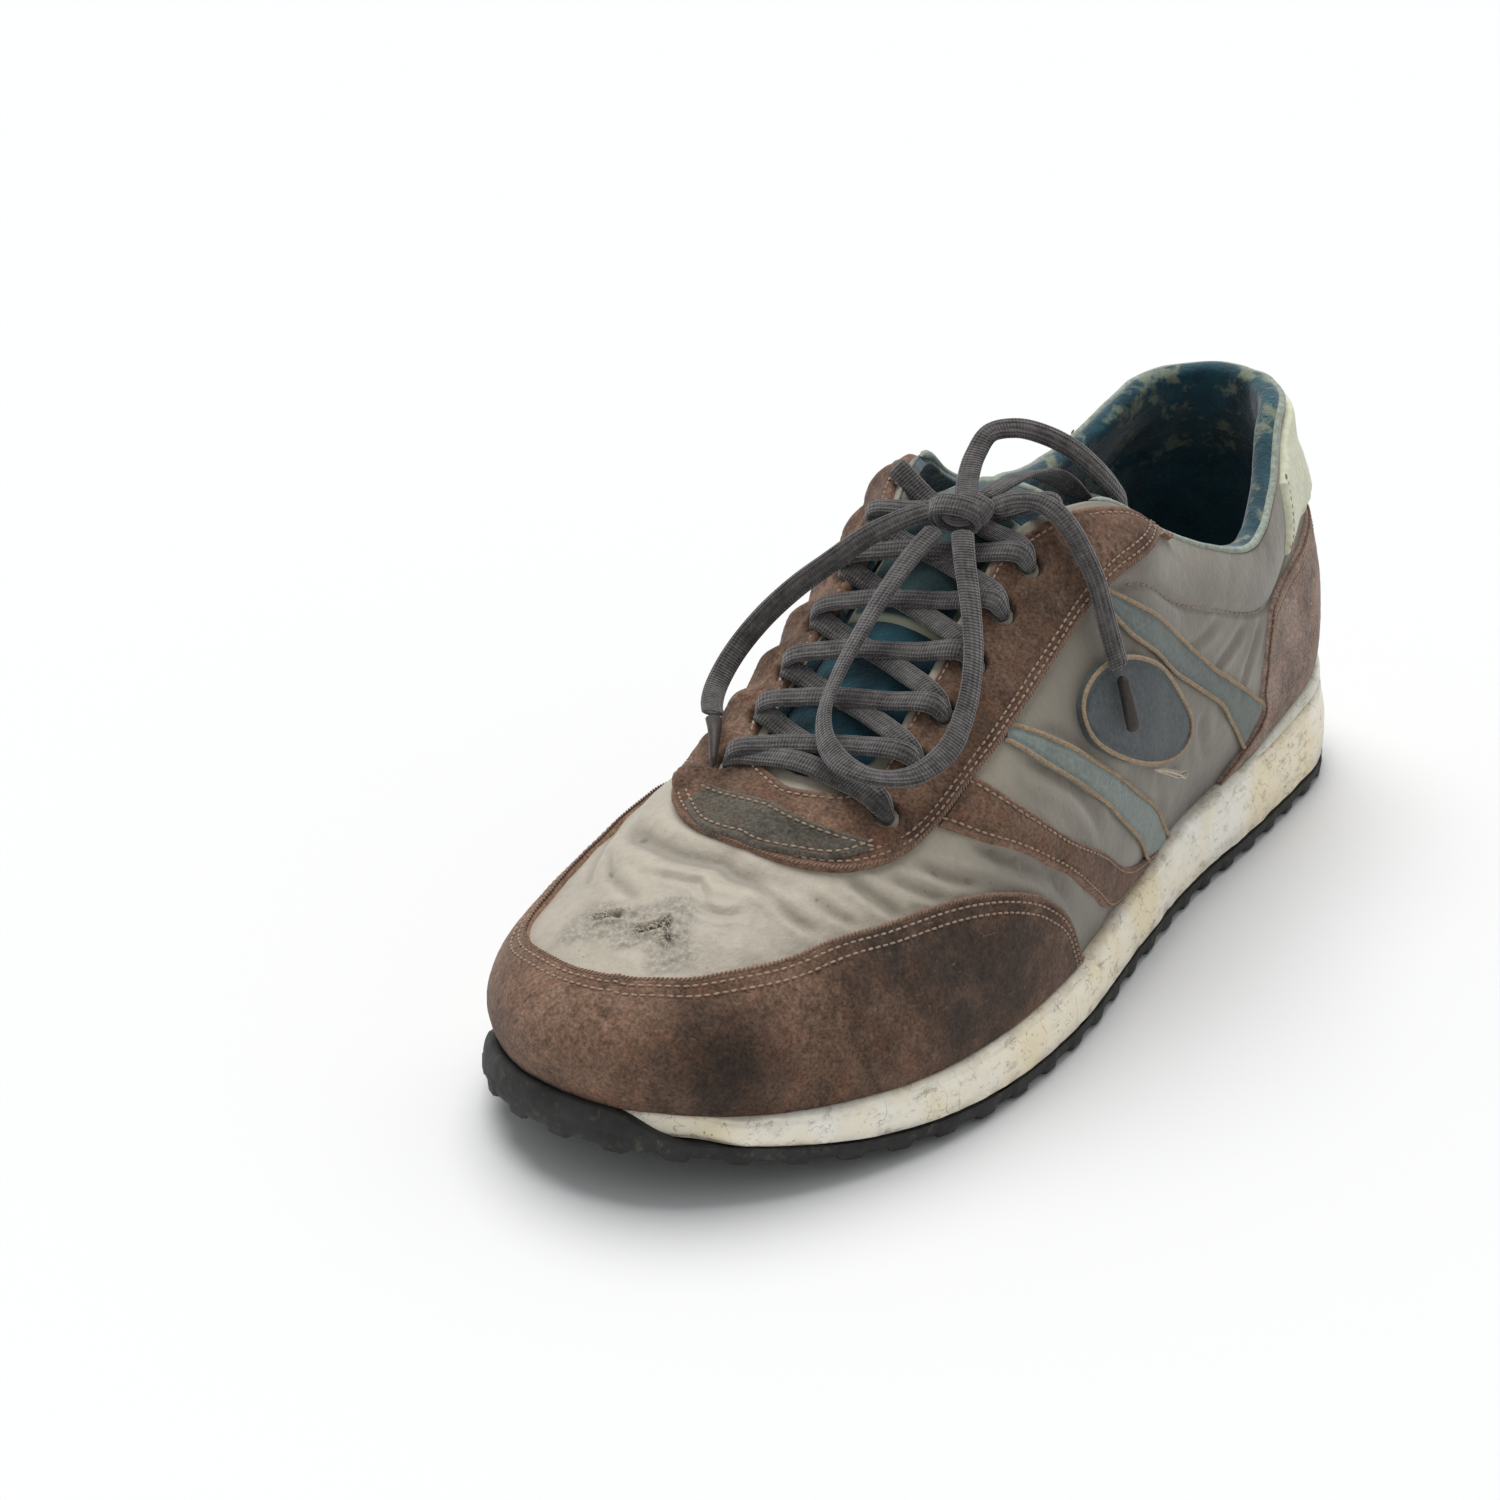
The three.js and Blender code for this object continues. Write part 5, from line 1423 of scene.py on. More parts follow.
def side_rows(panel, name, distance, height):
    """A row along one end of a panel, this far in."""
    away = panel.edges[name]
    rows = [np.interp(distance, away[r][::-1] if name == "end" else away[r],
                      np.arange(away.shape[1])[::-1] if name == "end" else np.arange(away.shape[1]))
            for r in range(away.shape[0])]
    columns_at = np.array(rows)
    turn = np.array([np.interp(c, np.arange(away.shape[1]), panel.turn[r]) for r, c in enumerate(columns_at)])
    v = np.array([np.interp(c, np.arange(away.shape[1]), panel.v[r]) for r, c in enumerate(columns_at)])
    return on_shell(turn, v, height)


def eyelet_places():
    return [(sign, face_at(sign, EYELET_OUT[sign], y)) for sign in (1, -1) for y in EYELET_Y]


def long_edges(panel, distance, height):
    """A row along each of a panel's two long edges."""
    return seam_rows(panel, "low", (distance,), height) + seam_rows(panel, "high", (distance,), height)


def leather_panels():
    rows = []
    guard = guard_panel()
    laid_panel("mudguard_leather", guard, 1.6, "suede", seams=[("high", 2.2), ("high", 4.6)],
               stands_for=["mudguard"], slot="suede_brown", rough=0.1)
    rows += seam_rows(guard, "high", (2.2, 4.6), 1.5)
    stay = eyestay_panel()
    holes = [(face(*place), 2.7) for _, place in eyelet_places()]
    def pucker(base):
        """The leather bunches up between the eyelets, most of all on the medial side."""
        x, y = base[..., 0], base[..., 1]
        between_holes = np.zeros(y.shape)
        for a, b in zip([-82] + EYELET_Y, EYELET_Y + [9]):
            between_holes = np.maximum(between_holes, np.exp(-(((y - (a + b) / 2) / 3.4) ** 2)))
        outer_side = np.exp(-(((np.abs(x) - 25.5) / 4.0) ** 2))
        return between_holes * outer_side * np.where(x < 0, 2.6, 0.5)

    laid_panel("eyestay_leather", stay, 1.5, "eyestay", lift=0.3, holes=holes, pucker=pucker,
               seams=[("low", 2.2), ("low", 4.4), ("high", 2.2)], stands_for=["eyestay"], slot="suede_brown")
    rows += seam_rows(stay, "low", (2.2, 4.4), 1.7) + seam_rows(stay, "high", (2.2,), 1.7)
    counter = counter_panel()
    laid_panel("counter_leather", counter, 1.6, "counter", seams=[("high", 2.2), ("high", 4.2)],
               stands_for=["heel_counter"], slot="suede_brown")
    rows += seam_rows(counter, "high", (2.2, 4.2), 1.5)
    for end in ("start", "end"):
        rows += [side_rows(counter, end, d, 1.5) for d in (2.2, 4.4)]
    tab = tab_panel()
    laid_panel("heel_tab_cloth", tab, 1.5, "tab", lift=0.2, seams=[("low", 2), ("start", 2), ("end", 2)],
               stands_for=["heel_tab"], slot="tab_olive", puff=0.35)
    rows += seam_rows(tab, "low", (2,), 1.7) + [side_rows(tab, e, 2, 1.7) for e in ("start", "end")]
    for sign, name in ((1, "lateral"), (-1, "medial")):
        flip = mirrored if sign < 0 else list
        strap = Panel(flip(STRAP[0]), flip(STRAP[1]), as_placed, step=1.0, bare=("start", "end"))
        laid_panel(f"strap_{name}", strap, 1.3, "strap", seams=[("low", 1.9), ("high", 1.9)],
                   stands_for=["upper"], slot="suede_brown")
        rows += long_edges(strap, 1.9, 1.25)
    patch = Panel(*VAMP_PATCH, over_ridge, step=0.9)
    laid_panel("vamp_patch", patch, 1.4, "patch", lift=1.5, seams=[("low", 1.9), ("high", 1.9)],
               stands_for=["eyestay"], slot="suede_brown", sunk=0.2)
    rows += long_edges(patch, 1.9, 2.85)
    edging = seam_rows(guard, "high", (0.55,), 1.45) + seam_rows(stay, "low", (0.55,), 1.55)
    edging += seam_rows(counter, "high", (0.55,), 1.4)
    edging += [side_rows(counter, e, 0.55, 1.4) for e in ("start", "end")]
    sew("edge_stitching", edging, "edging", spacing=0.95, length=1.7, radius=0.34,
        slant=0.7, uneven=0.12)
    look = bpy.context.scene.sneaker
    sew("seam_thread", rows, "thread", spacing=look.stitch_spacing * 1000,
        length=look.stitch_length * 1000)


def collar_seams():
    rows = []
    fold = np.linspace(0.68, 1.56, 90)
    across = along(COLLAR_STITCH, fold)
    for sign in (1, -1):
        turn = fold if sign > 0 else TURN - fold
        rows.append((shell(turn, 1 - across, 0.2), face_normal(turn, 1 - across)))
    sew("collar_thread", rows, "thread", spacing=2.6, length=2.0, radius=0.24)


def side_bands():
    """Two flat support bands and an oval patch on each side, edged with tan cording."""
    cords = []
    for sign, name in ((1, "lateral"), (-1, "medial")):
        flip = mirrored if sign < 0 else list
        for key, table, colour in (("low", LOW_BAND, "band_low"), ("high", HIGH_BAND, "band_high")):
            band = Panel(flip(table[0]), flip(table[1]), as_placed, step=1.0, bare=("start", "end"))
            laid_panel(f"band_{key}_{name}", band, 0.9, colour, stands_for=["upper"], slot="nylon_taupe",
                       rough=0.04, seams=[("low", 1.3), ("high", 1.3)])
            cords += long_edges(band, 0.35, 0.85)
        badge = badge_panel(sign)
        laid_panel(f"side_patch_{name}", badge, 1.2, "badge", lift=0.9, stands_for=["upper"],
                   slot="nylon_taupe", rough=0.05, sunk=0.3, seams=[("low", 2.2), ("high", 2.2)])
        cords += long_edges(badge, 0.5, 2.1)
    sew("edge_cording", cords, "cording", spacing=0.62, length=1.7, radius=0.46,
        slant=0.62, uneven=0.1)


def fray():
    """Loose fibres along the tear, and a pulled loop at the side patch's corner."""
    rng = np.random.default_rng(5)
    skin = Skin()

    def fibre(points, width):
        line = polyline(points, 0.8)
        skin.tube(line, np.tile([0.2, 0.1, 1.0], (len(line), 1)), width, width, sides=5, power=1.0)

    for places in TEAR:
        path = polyline(np.array(places) * MM_PER_PLACE, 1.0) / MM_PER_PLACE
        for fold, across in path[1:-1]:
            for _ in range(4):
                a = fold + rng.uniform(-0.03, 0.03)
                b = across + rng.uniform(-0.02, 0.02)
                turn, v = over_ridge(a, b)
                base, normal = shell(turn, v, 0.1), face_normal(turn, v)
                lean = rng.normal(0, 1, 3)
                lean = steady(lean - normal * (lean @ normal))
                tip = base + normal * rng.uniform(0.2, 0.7) + lean * rng.uniform(1.0, 3.0)
                fibre([base, (base + tip) / 2 + normal * 0.4, tip], 0.16)
    start, middle, end = (on_shell(np.array([t]), np.array([v]), h)[0][0]
                          for t, v, h in ((1.535, 0.315, 2), (1.44, 0.262, 3.6), (1.352, 0.225, 2)))
    for k in range(5):
        drift = rng.normal(0, 0.7, 3)
        fibre([start, (start + middle) / 2 + drift, middle + drift, (middle + end) / 2 - drift, end], 0.42)
    return skin.piece("frayed_fibres", "fibre", (), "nylon_taupe")


# ---------------------------------------------------------------- soles

def sole_columns(step=1.15):
    return columns(lambda fold: step + 0 * fold)


def between(a, b, share):
    return a + (b - a) * share


def midsole():
    turns = sole_columns()
    s = station_of(turns)
    low_at = lambda a: ground_at(a) + OUTSOLE + 1.2 * GAP
    bed_at = lambda a: along(BED_HEIGHT, a) - GAP
    low, top = low_at(s), midsole_top(turns)
    bed = np.minimum(bed_at(s), top - 0.4)
    middle_low = middle_point(turns, low_at)
    foot = edge(turns, sole_grow(turns, 0), low)
    rows = [between(middle_low, foot, k) for k in (0, 0.35, 0.7, 0.92, 0.98)]
    grimes = [1.0] * 5
    for h in np.linspace(0, 1, 22):
        round_in = 0.9 * (1 - rise(min(h, 1 - h) * (top - low), 1.3))
        bulge = 0.8 * math.sin(math.pi * h) * (1 - toe_share(turns))
        groove = 0.55 * np.exp(-(((h - 0.84) / 0.05) ** 2)) * (1 - toe_share(turns))
        wall = edge(turns, sole_grow(turns, h) + bulge - groove - round_in, low + (top - low) * h)
        dents = 0.22 * value_noise(wall, 7, 41) + 0.12 * value_noise(wall, 2.6, 42)
        nicks = -0.7 * smooth((value_noise(wall, 4.2, 43) - 0.62) / 0.2)
        out = np.concatenate([plan_normal(turns), np.zeros((len(turns), 1))], -1)
        rows.append(wall + out * (dents + nicks)[:, None])
        grimes.append(float(1 - smooth(h / 0.35)) * 0.8 + float(smooth((h - 0.8) / 0.15)) * 0.5)
    lip = edge(turns, -INSET - WALL - 0.8 - (BUMPER + GAP) * 0.2 * toe_share(turns), top)
    inner = edge(turns, -INSET - WALL - 2.5, bed)
    rows += [between(rows[-1], lip, 0.12), lip, inner]
    middle_bed = middle_point(turns, bed_at)
    rows += [between(inner, middle_bed, k) for k in (0.33, 0.66, 1)]
    rows = np.array(rows)
    grimes = np.array(grimes + [0.3] * (len(rows) - len(grimes)))[:, None] * np.ones((1, len(turns)))
    skin = Skin()
    skin.grid(rows, grime=grimes)
    return skin.piece("midsole_foam", "foam", ["midsole"], "foam_cream")


def heel_wedge():
    turns = sole_columns(1.4)
    end = 11 * TURN / 64
    turns = np.concatenate([turns[turns > TURN - end] - TURN, turns[(turns < end) & (turns > 0)]])
    turns = np.concatenate([turns[turns < 0], [0], turns[turns > 0]])
    s = station_of(turns)
    low = midsole_top(turns) + GAP * 1.4
    top = along(FOOT_HEIGHT, s) - GAP
    low = np.minimum(low, top - 0.05)
    bed = np.minimum(along(BED_HEIGHT, s), top)
    rows = [edge(turns, -INSET - WALL - 0.2, low)]
    for h in np.linspace(0, 1, 7):
        grow = (sole_grow(turns, 1) - 0.2) * (1 - h) - 0.9 * h + 0.35 * math.sin(math.pi * h)
        rows.append(edge(turns, grow, low + (top - low) * h))
    rows += [edge(turns, -INSET - WALL - 0.2, np.maximum(top, bed)), rows[0]]
    rows = np.array(rows)
    skin = Skin()
    skin.grid(rows)
    for c, flip in ((0, True), (-1, False)):
        ring = rows[:-1, c]
        middle = np.broadcast_to(ring.mean(0), ring.shape)
        loop = np.concatenate([ring, ring[:1]])
        skin.grid(np.stack([loop, np.broadcast_to(middle[0], loop.shape)]), flip=flip)
    return skin.piece("heel_wedge_foam", "wedge", ["heel_wedge"], "foam_grey")


def insole():
    turns = sole_columns(2.5)
    s = station_of(turns)
    grow = -INSET - WALL - 3.4
    low_at = lambda a: along(BED_HEIGHT, a) + 0.1
    top_at = lambda a: low_at(a) + INSOLE
    middle_low, middle_top = middle_point(turns, low_at), middle_point(turns, top_at)
    low_edge, top_edge = edge(turns, grow, low_at(s)), edge(turns, grow, top_at(s) + 0.6)
    rows = [middle_low, between(middle_low, low_edge, 0.5), low_edge, between(low_edge, top_edge, 0.6),
            edge(turns, grow - 0.5, top_at(s) + 0.55)]
    rows += [between(rows[-1], middle_top, k) for k in (0.1, 0.3, 0.5, 0.75, 1)]
    rows = np.array(rows)
    rows[4:-1, :, 2] += 0.35 * value_noise(rows[4:-1], 12, 51)
    skin = Skin()
    skin.grid(rows)
    piece = skin.piece("insole_cloth", "insole", ["insole"], "lining_teal")
    return piece


def bumper_reach(turn):
    return np.where(turn < math.pi, smooth((turn - 2.8) / 0.25), smooth((station_of(turn) - 0.885) / 0.075))


def outsole():
    turns = sole_columns(0.95)
    s = station_of(turns)
    reach = bumper_reach(turns)
    plate_at = lambda a: ground_at(a) + LUG
    top_at = lambda a: ground_at(a) + OUTSOLE
    low, top = plate_at(s), top_at(s)
    crest_highlight = top + (along(FOOT_HEIGHT, s) - GAP - top) * reach + 0.02
    run = run_of(plan_point(turns))
    beat = smooth((np.cos(run * TURN / 12.6) - 0.1) / 0.3)
    middle_low = middle_point(turns, plate_at)
    under = edge(turns, FLARE - 3.2, low)
    deep = 1.1 + (LUG - 1.2) * beat
    foot = edge(turns, FLARE - 1.2, low - deep)
    rows = [middle_low, between(middle_low, under, 0.35), between(middle_low, under, 0.7), under,
            edge(turns, FLARE - 3.0, low - deep), foot,
            edge(turns, FLARE - 0.4 + 0.35 * beat, low - deep + 0.5)]
    side = edge(turns, FLARE - 0.1 + 0.35 * beat, low + 0.4)
    rows += [side, edge(turns, FLARE + 0.2 * beat, top - 0.5), edge(turns, FLARE - 0.15, top)]
    out = FLARE * (1 - reach)
    for k in (0.15, 0.3, 0.45, 0.6, 0.75, 0.9, 0.98):
        bulge = 0.5 * reach * math.sin(math.pi * k)
        rows.append(edge(turns, FLARE + (out - FLARE) * k + bulge, top + (crest_highlight - top) * k))
    rows.append(edge(turns, np.minimum(sole_grow(turns, reach) + GAP, out - 0.1), crest_highlight))
    step = edge(turns, np.minimum(sole_grow(turns, 0) + GAP, FLARE - 0.2), top)
    middle_top = middle_point(turns, top_at)
    rows += [step, between(step, middle_top, 0.4), middle_top]
    rows = np.array(rows)
    push = 0.12 * value_noise(rows[7:18], 2.4, 61) + 0.2 * value_noise(rows[7:18], 9, 62)
    rows[7:18, :, :2] += push[..., None] * plan_normal(turns)[None]
    skin = Skin()
    skin.grid(rows)
    skin.piece("outsole_rubber", "rubber", ["outsole"], "rubber_dark")
    tread_lugs()


def lug_tree():
    """A six-sided tapered lug on every point, a little turned at random."""
    tree, node, link, given, out = new_tree("tread_lugs", ("Lug Radius", "Lug Height"))
    points = node("GeometryNodeMeshToPoints")
    link(given.outputs["Geometry"], points.inputs["Mesh"])
    lug = node("GeometryNodeMeshCone")
    lug.inputs["Vertices"].default_value = 6
    narrow = node("ShaderNodeMath", operation="MULTIPLY")
    narrow.inputs[1].default_value = 0.84
    link(given.outputs["Lug Radius"], narrow.inputs[0])
    link(narrow.outputs[0], lug.inputs["Radius Bottom"])
    link(given.outputs["Lug Radius"], lug.inputs["Radius Top"])
    link(given.outputs["Lug Height"], lug.inputs["Depth"])
    spin = node("FunctionNodeRandomValue", data_type="FLOAT_VECTOR")
    spin.inputs[0].default_value = (0, 0, -0.08)
    spin.inputs[1].default_value = (0, 0, 0.08)
    spin.inputs["Seed"].default_value = 4
    laid = node("GeometryNodeInstanceOnPoints")
    link(points.outputs["Points"], laid.inputs["Points"])
    link(lug.outputs["Mesh"], laid.inputs["Instance"])
    link(spin.outputs[0], laid.inputs["Rotation"])
    real = node("GeometryNodeRealizeInstances")
    link(laid.outputs["Instances"], real.inputs["Geometry"])
    paint = node("GeometryNodeSetMaterial")
    link(real.outputs["Geometry"], paint.inputs["Geometry"])
    link(given.outputs["Material"], paint.inputs["Material"])
    link(paint.outputs["Geometry"], out.inputs["Geometry"])
    return tree


def tread_lugs():
    places = []
    for j, y in enumerate(np.arange(-136, 142, 10.2)):
        if -4 < y < 50:
            continue
        s = station_at(y)
        left = along(MEDIAL["sole"], s) * rounding(s, HEEL_CAP, MEDIAL["toe_cap"], CAP_POWER)
        right = along(LATERAL["sole"], s) * rounding(s, HEEL_CAP, LATERAL["toe_cap"], CAP_POWER)
        offset = 5.9 * (j % 2)
        for x in np.arange(-56.6 + offset, 60, 11.8):
            if -left + 8.5 < x < right - 8.5:
                places.append((x + along(MIDDLE, s), y, ground_at(s) + 0.05))
    mesh = bpy.data.meshes.new("lug_places")
    mesh.from_pydata(to_frame(places).tolist(), [], [])
    sizes = {"Lug Radius": 0.0049, "Lug Height": 0.0026, "Material": finish("rubber")}
    grown("outsole_lugs", mesh, lug_tree(), sizes, ["outsole"])


# ---------------------------------------------------------------- tongue

def tongue_point(y, share, lift=0.0):
    x = share * along(TONGUE_HALF, y)
    middle = along(MIDDLE, station_at(y))
    return np.stack([x + middle, y, tongue_top(x + middle, y) + lift], -1)


def tongue():
    ys, shares = np.linspace(-88, 18, 96), np.linspace(-1, 1, 45)
    y, share = np.meshgrid(ys, shares, indexing="ij")
    edge_in = np.minimum((1 - np.abs(share)) * along(TONGUE_HALF, y), np.minimum(y + 88, 18 - y))
    puff = 1.1 * rise(edge_in, 6) - 0.9
    flat = tongue_point(y, share)
    quilt = 0.5 * value_noise(flat, 10, 71) + 0.25 * value_noise(flat, 4, 72)
    top = tongue_point(y, share, puff + quilt * smooth(edge_in / 4))
    thick = 2 + (TONGUE - 2) * (1 - share**4)
    under = tongue_point(y, share, -thick + 0.8 * (1 - rise(edge_in, 3)))
    skin = Skin()
    wear = smooth((y + 30) / 30)
    skin.grid(top, flip=True, wear=wear)
    skin.grid(under, wear=0 * wear)
    skin.sides(top, under)
    piece = skin.piece("tongue_padding", "tongue", ["tongue"], "tongue_fabric")
    shares = np.linspace(-1, 1, 60)
    line = tongue_point(18.2 + 1.2 * (1 - shares**2), shares * 0.985, -0.9)
    sides = [tongue_point(np.linspace(-14, 18, 24), side * 0.985 + np.zeros(24), -0.8) for side in (-1, 1)]
    path = polyline(np.concatenate([sides[0][::4], line[::4], sides[1][::-4]]), 1.0)
    rim = Skin()
    # The rim's pale piping colour is partly painted highlight on the lit padded edge
    rim.tube(path, np.tile([0.0, 0.3, 1.0], (len(path), 1)), 2.6, 2.4, sides=9, power=1.0)
    rim.piece("tongue_rim", "piping", ["tongue"], "tongue_fabric")
    ys, shares = np.linspace(-34, 0, 40), np.linspace(-0.62, 0.62, 30)
    y, share = np.meshgrid(ys, shares, indexing="ij")
    inset = np.minimum(np.minimum(y + 34, -y), (0.62 - np.abs(share)) * 21)
    ripple = 0.3 * value_noise(tongue_point(y, share), 8, 73)
    top = tongue_point(y, share, 0.55 + 0.8 * rise(inset, 0.8) + ripple)
    under = tongue_point(y, share, -0.4)
    label = Skin()
    label.grid(top, flip=True, edge=inset)
    label.grid(under)
    label.sides(top, under)
    label.piece("tongue_label", "label", ["tongue"], "tongue_fabric")


# ---------------------------------------------------------------- laces

LACE_THICK = 1.7
KNOT = np.array([5.5, -16.0, 111.0])
FRONT_LOOP = [(3.5, -22.2, 109), (2, -29, 105.5), (1, -39, 100), (0, -49, 92.5), (-0.5, -58, 85),
              (1, -66, 79), (6, -72.5, 75.5), (13, -76.5, 74), (20, -76.5, 73), (26.5, -72, 73),
              (30, -63, 76), (29, -53, 82), (25.5, -44, 90), (20, -36, 98.5), (14, -28.5, 105.5),
              (9.5, -22, 109.8)]
BACK_LOOP = [(3.5, -9.7, 112), (0, -3, 114), (-2, 4, 117.5), (-1.5, 9.5, 121), (2.5, 14.5, 121.5),
             (8, 19, 119.5), (13, 22, 116.5), (18, 24.5, 112), (21.5, 28, 106.5), (22, 33, 101),
             (19.5, 36, 98.5), (15.5, 34, 99), (13, 28, 103), (11, 20.5, 109), (9.5, 10, 113),
             (8.5, 0, 113.8), (7.5, -9.5, 113)]
MEDIAL_END = [(-0.8, -17.5, 111), (-6, -23, 109), (-11, -28, 106), (-17, -34, 100.5), (-24, -38, 94),
              (-30.5, -43, 86), (-33.5, -50, 79), (-33, -57, 74.7), (-30, -63.5, 73.4), (-26, -69, 73.4)]
MEDIAL_AGLET = [(-25.3, -69.9, 73.4), (-21, -76, 73), (-16.5, -83.5, 69)]
LATERAL_END = [(11.6, -13.3, 112.3), (15.5, -9.5, 113.8), (20, -7.5, 114), (25, -7, 112.2), (29, -7, 108.7),
               (32.5, -7.2, 104), (36, -7.6, 98.5), (39, -8.4, 91.5), (41.7, -8.7, 84.2), (43.6, -8.4, 78.5)]
LATERAL_AGLET = [(43.9, -8.3, 77.4), (45.6, -7.4, 70.5), (47, -6.4, 63.5)]


def lace_bars():
    """The strands between the two rows of eyelets, each diving into its holes."""
    look = bpy.context.scene.sneaker
    wide, thick = look.lace_width * 1000, 1.7
    skin = Skin()
    flat = np.array([0, -0.45, 0.9])

    def strand(sign, first, last, raised):
        points, ups = [], []
        y_from, y_to = EYELET_Y[first], EYELET_Y[last]
        near, far = EYELET_OUT[sign], EYELET_OUT[-sign]

        def y_at(x):
            return y_from + (y_to - y_from) * (near - x) / (near + far)

        def over(side, out, y, height):
            place = face_at(side, out, y)
            normal = face_normal(*place)
            points.append(face(*place) + normal * height)
            ups.append(normal)

        over(sign, near + 0.7, y_from, -3.6)
        over(sign, near + 0.1, y_from, 0.4)
        over(sign, near - 1.8, y_at(near - 1.8), 2.5 + 0.7 * raised)
        middle = y_at(0)
        rest = max(float(tongue_top(0, middle)) + 2.6, float(face(THROAT_COLUMN, 1.0)[2]) + 3.6)
        for x in (9, 0, -9):
            sag = 0.35 * (1 - (x / 9) ** 2)
            y = y_at(x)
            drop = max(float(tongue_top(x, y)) - float(tongue_top(0, middle)), -1.6)
            centre = float(along(MIDDLE, station_at(y)))
            points.append(np.array([sign * x + centre, y, rest + drop + raised - sag]))
            ups.append(flat)
        over(-sign, far - 1.8, y_at(1.8 - far), 2.5 + 0.7 * raised)
        over(-sign, far + 0.1, y_to, 0.4)
        over(-sign, far + 0.7, y_to, -3.6)
        path, up = lace_line(points, ups)
        lean = 0.18 * value_noise(path, 14, 80 + first)
        up = steady(up + lean[:, None] * np.array([0, 1.0, 0.0]))
        ends = np.minimum(np.arange(len(path)), np.arange(len(path))[::-1]) * 0.8
        skin.tube(path, up, wide, thick, squeeze=0.62 + 0.38 * smooth((ends - 3.2) / 5))

    strand(1, 0, 0, 0.0)
    for i in range(len(EYELET_Y) - 1):
        strand(1, i, i + 1, 0.1)
        strand(-1, i, i + 1, 1.9)
    skin.piece("lace_strands", "lace", ["lace_bars"], "lace_grey")


def lace_knot():
    """The bow's middle: one turn of lace round the loops' necks, and the crossing under it."""
    skin = Skin()
    a = np.linspace(0, TURN, 61)[:-1]

    def turn_round(centre, one, two):
        c, s = squared(np.cos(a), 0.85), squared(np.sin(a), 0.85)
        path = np.array(centre) + c[:, None] * np.array(one) + s[:, None] * np.array(two)
        skin.tube(path, steady(path - np.array(centre)), 5.4, 1.6, closed=True)

    turn_round(KNOT + [0.0, -1.6, 0.2], (5.6, 0.6, 0.3), (0.2, -2.4, 3.1))
    turn_round(KNOT + [1.6, 2.2, 0.3], (5.0, -1.5, 0.6), (0.6, -2.2, 2.7))
    turn_round(KNOT + [-1.4, -0.2, -0.9], (3.4, 3.2, -1.0), (-0.4, -1.4, 3.1))
    blob = np.linspace(0, math.pi, 15)[:, None]
    ring = np.linspace(0, TURN, 25)[None]
    core = np.stack(np.broadcast_arrays(
        4.4 * np.sin(blob) * np.cos(ring), 4.8 * np.sin(blob) * np.sin(ring), -2.9 * np.cos(blob)), -1)
    skin.grid(core + KNOT)
    return skin.piece("lace_knot_wraps", "lace", ["lace_knot"], "lace_grey")


def end_tube(name, route, node):
    path, up = lace_line(route, [(0.0, 0.2, 1.0)] * len(route), 0.6)
    taper = np.linspace(1.12, 0.42, len(path))
    skin = Skin()
    skin.tube(path, up, 3.6, 2.6, sides=12, power=0.95, squeeze=taper)
    return skin.piece(name, "aglet", [node], "aglet")


def free_lace(name, node, route, ups):
    look = bpy.context.scene.sneaker
    path, up = lace_line(route, ups)
    skin = Skin()
    skin.tube(path, up, look.lace_width * 1000, LACE_THICK)
    piece = skin.piece(name, "lace", [node], "lace_grey")
    return piece


def blend_ups(route, keys):
    """Up directions along a route, from (share, direction) keys."""
    share = np.linspace(0, 1, len(route))
    return steady(np.stack([along([(k, d[i]) for k, d in keys], share) for i in range(3)], -1))


def free_laces():
    knot = lace_knot()
    front = blend_ups(FRONT_LOOP, [(0, (0.2, -0.5, 0.9)), (0.25, (-0.5, -0.5, 0.7)), (0.42, (-0.7, -0.2, 0.7)),
                                   (0.6, (0.3, -0.2, 0.9)), (0.75, (0.7, -0.1, 0.6)), (1, (0.3, -0.5, 0.9))])
    free_lace("loop_front", "lace_loop_front", FRONT_LOOP, front)
    back = blend_ups(BACK_LOOP, [(0, (0.3, -0.7, 0.6)), (0.2, (0.1, -0.7, 0.7)), (0.35, (0.3, -0.6, 0.7)),
                                 (0.5, (0.6, -0.3, 0.7)), (0.65, (0.8, 0.2, 0.2)), (0.8, (-0.5, -0.4, 0.6)),
                                 (0.9, (-0.2, -0.6, 0.8)), (1, (0, -0.4, 0.9))])
    free_lace("loop_back", "lace_loop_back", BACK_LOOP, back)
    medial = blend_ups(MEDIAL_END, [(0, (0.1, -0.6, 0.8)), (0.3, (0.5, -0.6, 0.6)), (0.6, (0.6, -0.5, 0.6)),
                                    (1, (0.4, -0.2, 0.9))])
    tip = end_tube("aglet_sleeve_medial", MEDIAL_AGLET, "aglet_medial")
    free_lace("end_medial", "lace_end_medial", MEDIAL_END, medial)
    lateral = blend_ups(LATERAL_END, [(0, (0.1, -0.5, 0.8)), (0.35, (0.3, -0.5, 0.8)), (0.6, (0.8, -0.4, 0.4)),
                                      (1, (0.9, -0.4, 0.2))])
    tip = end_tube("aglet_sleeve_lateral", LATERAL_AGLET, "aglet_lateral")
    free_lace("end_lateral", "lace_end_lateral", LATERAL_END, lateral)


# ---------------------------------------------------------------- stage

def aim(thing, place, target):
    thing.location = place
    thing.rotation_euler = (Vector(target) - Vector(place)).to_track_quat("-Z", "Y").to_euler()


def set_camera():
    scene = bpy.context.scene
    data = bpy.data.cameras.new("camera")
    data.lens, data.sensor_width = 79.74, 36.0
    data.clip_start, data.clip_end = 0.01, 20
    camera = bpy.data.objects.new("camera", data)
    scene.collection.objects.link(camera)
    target = Vector((-0.04707, -0.01953, 0.040))
    aim(camera, target + 0.8 * Vector((0.4959, -0.7599, 0.4202)), target)
    scene.camera = camera


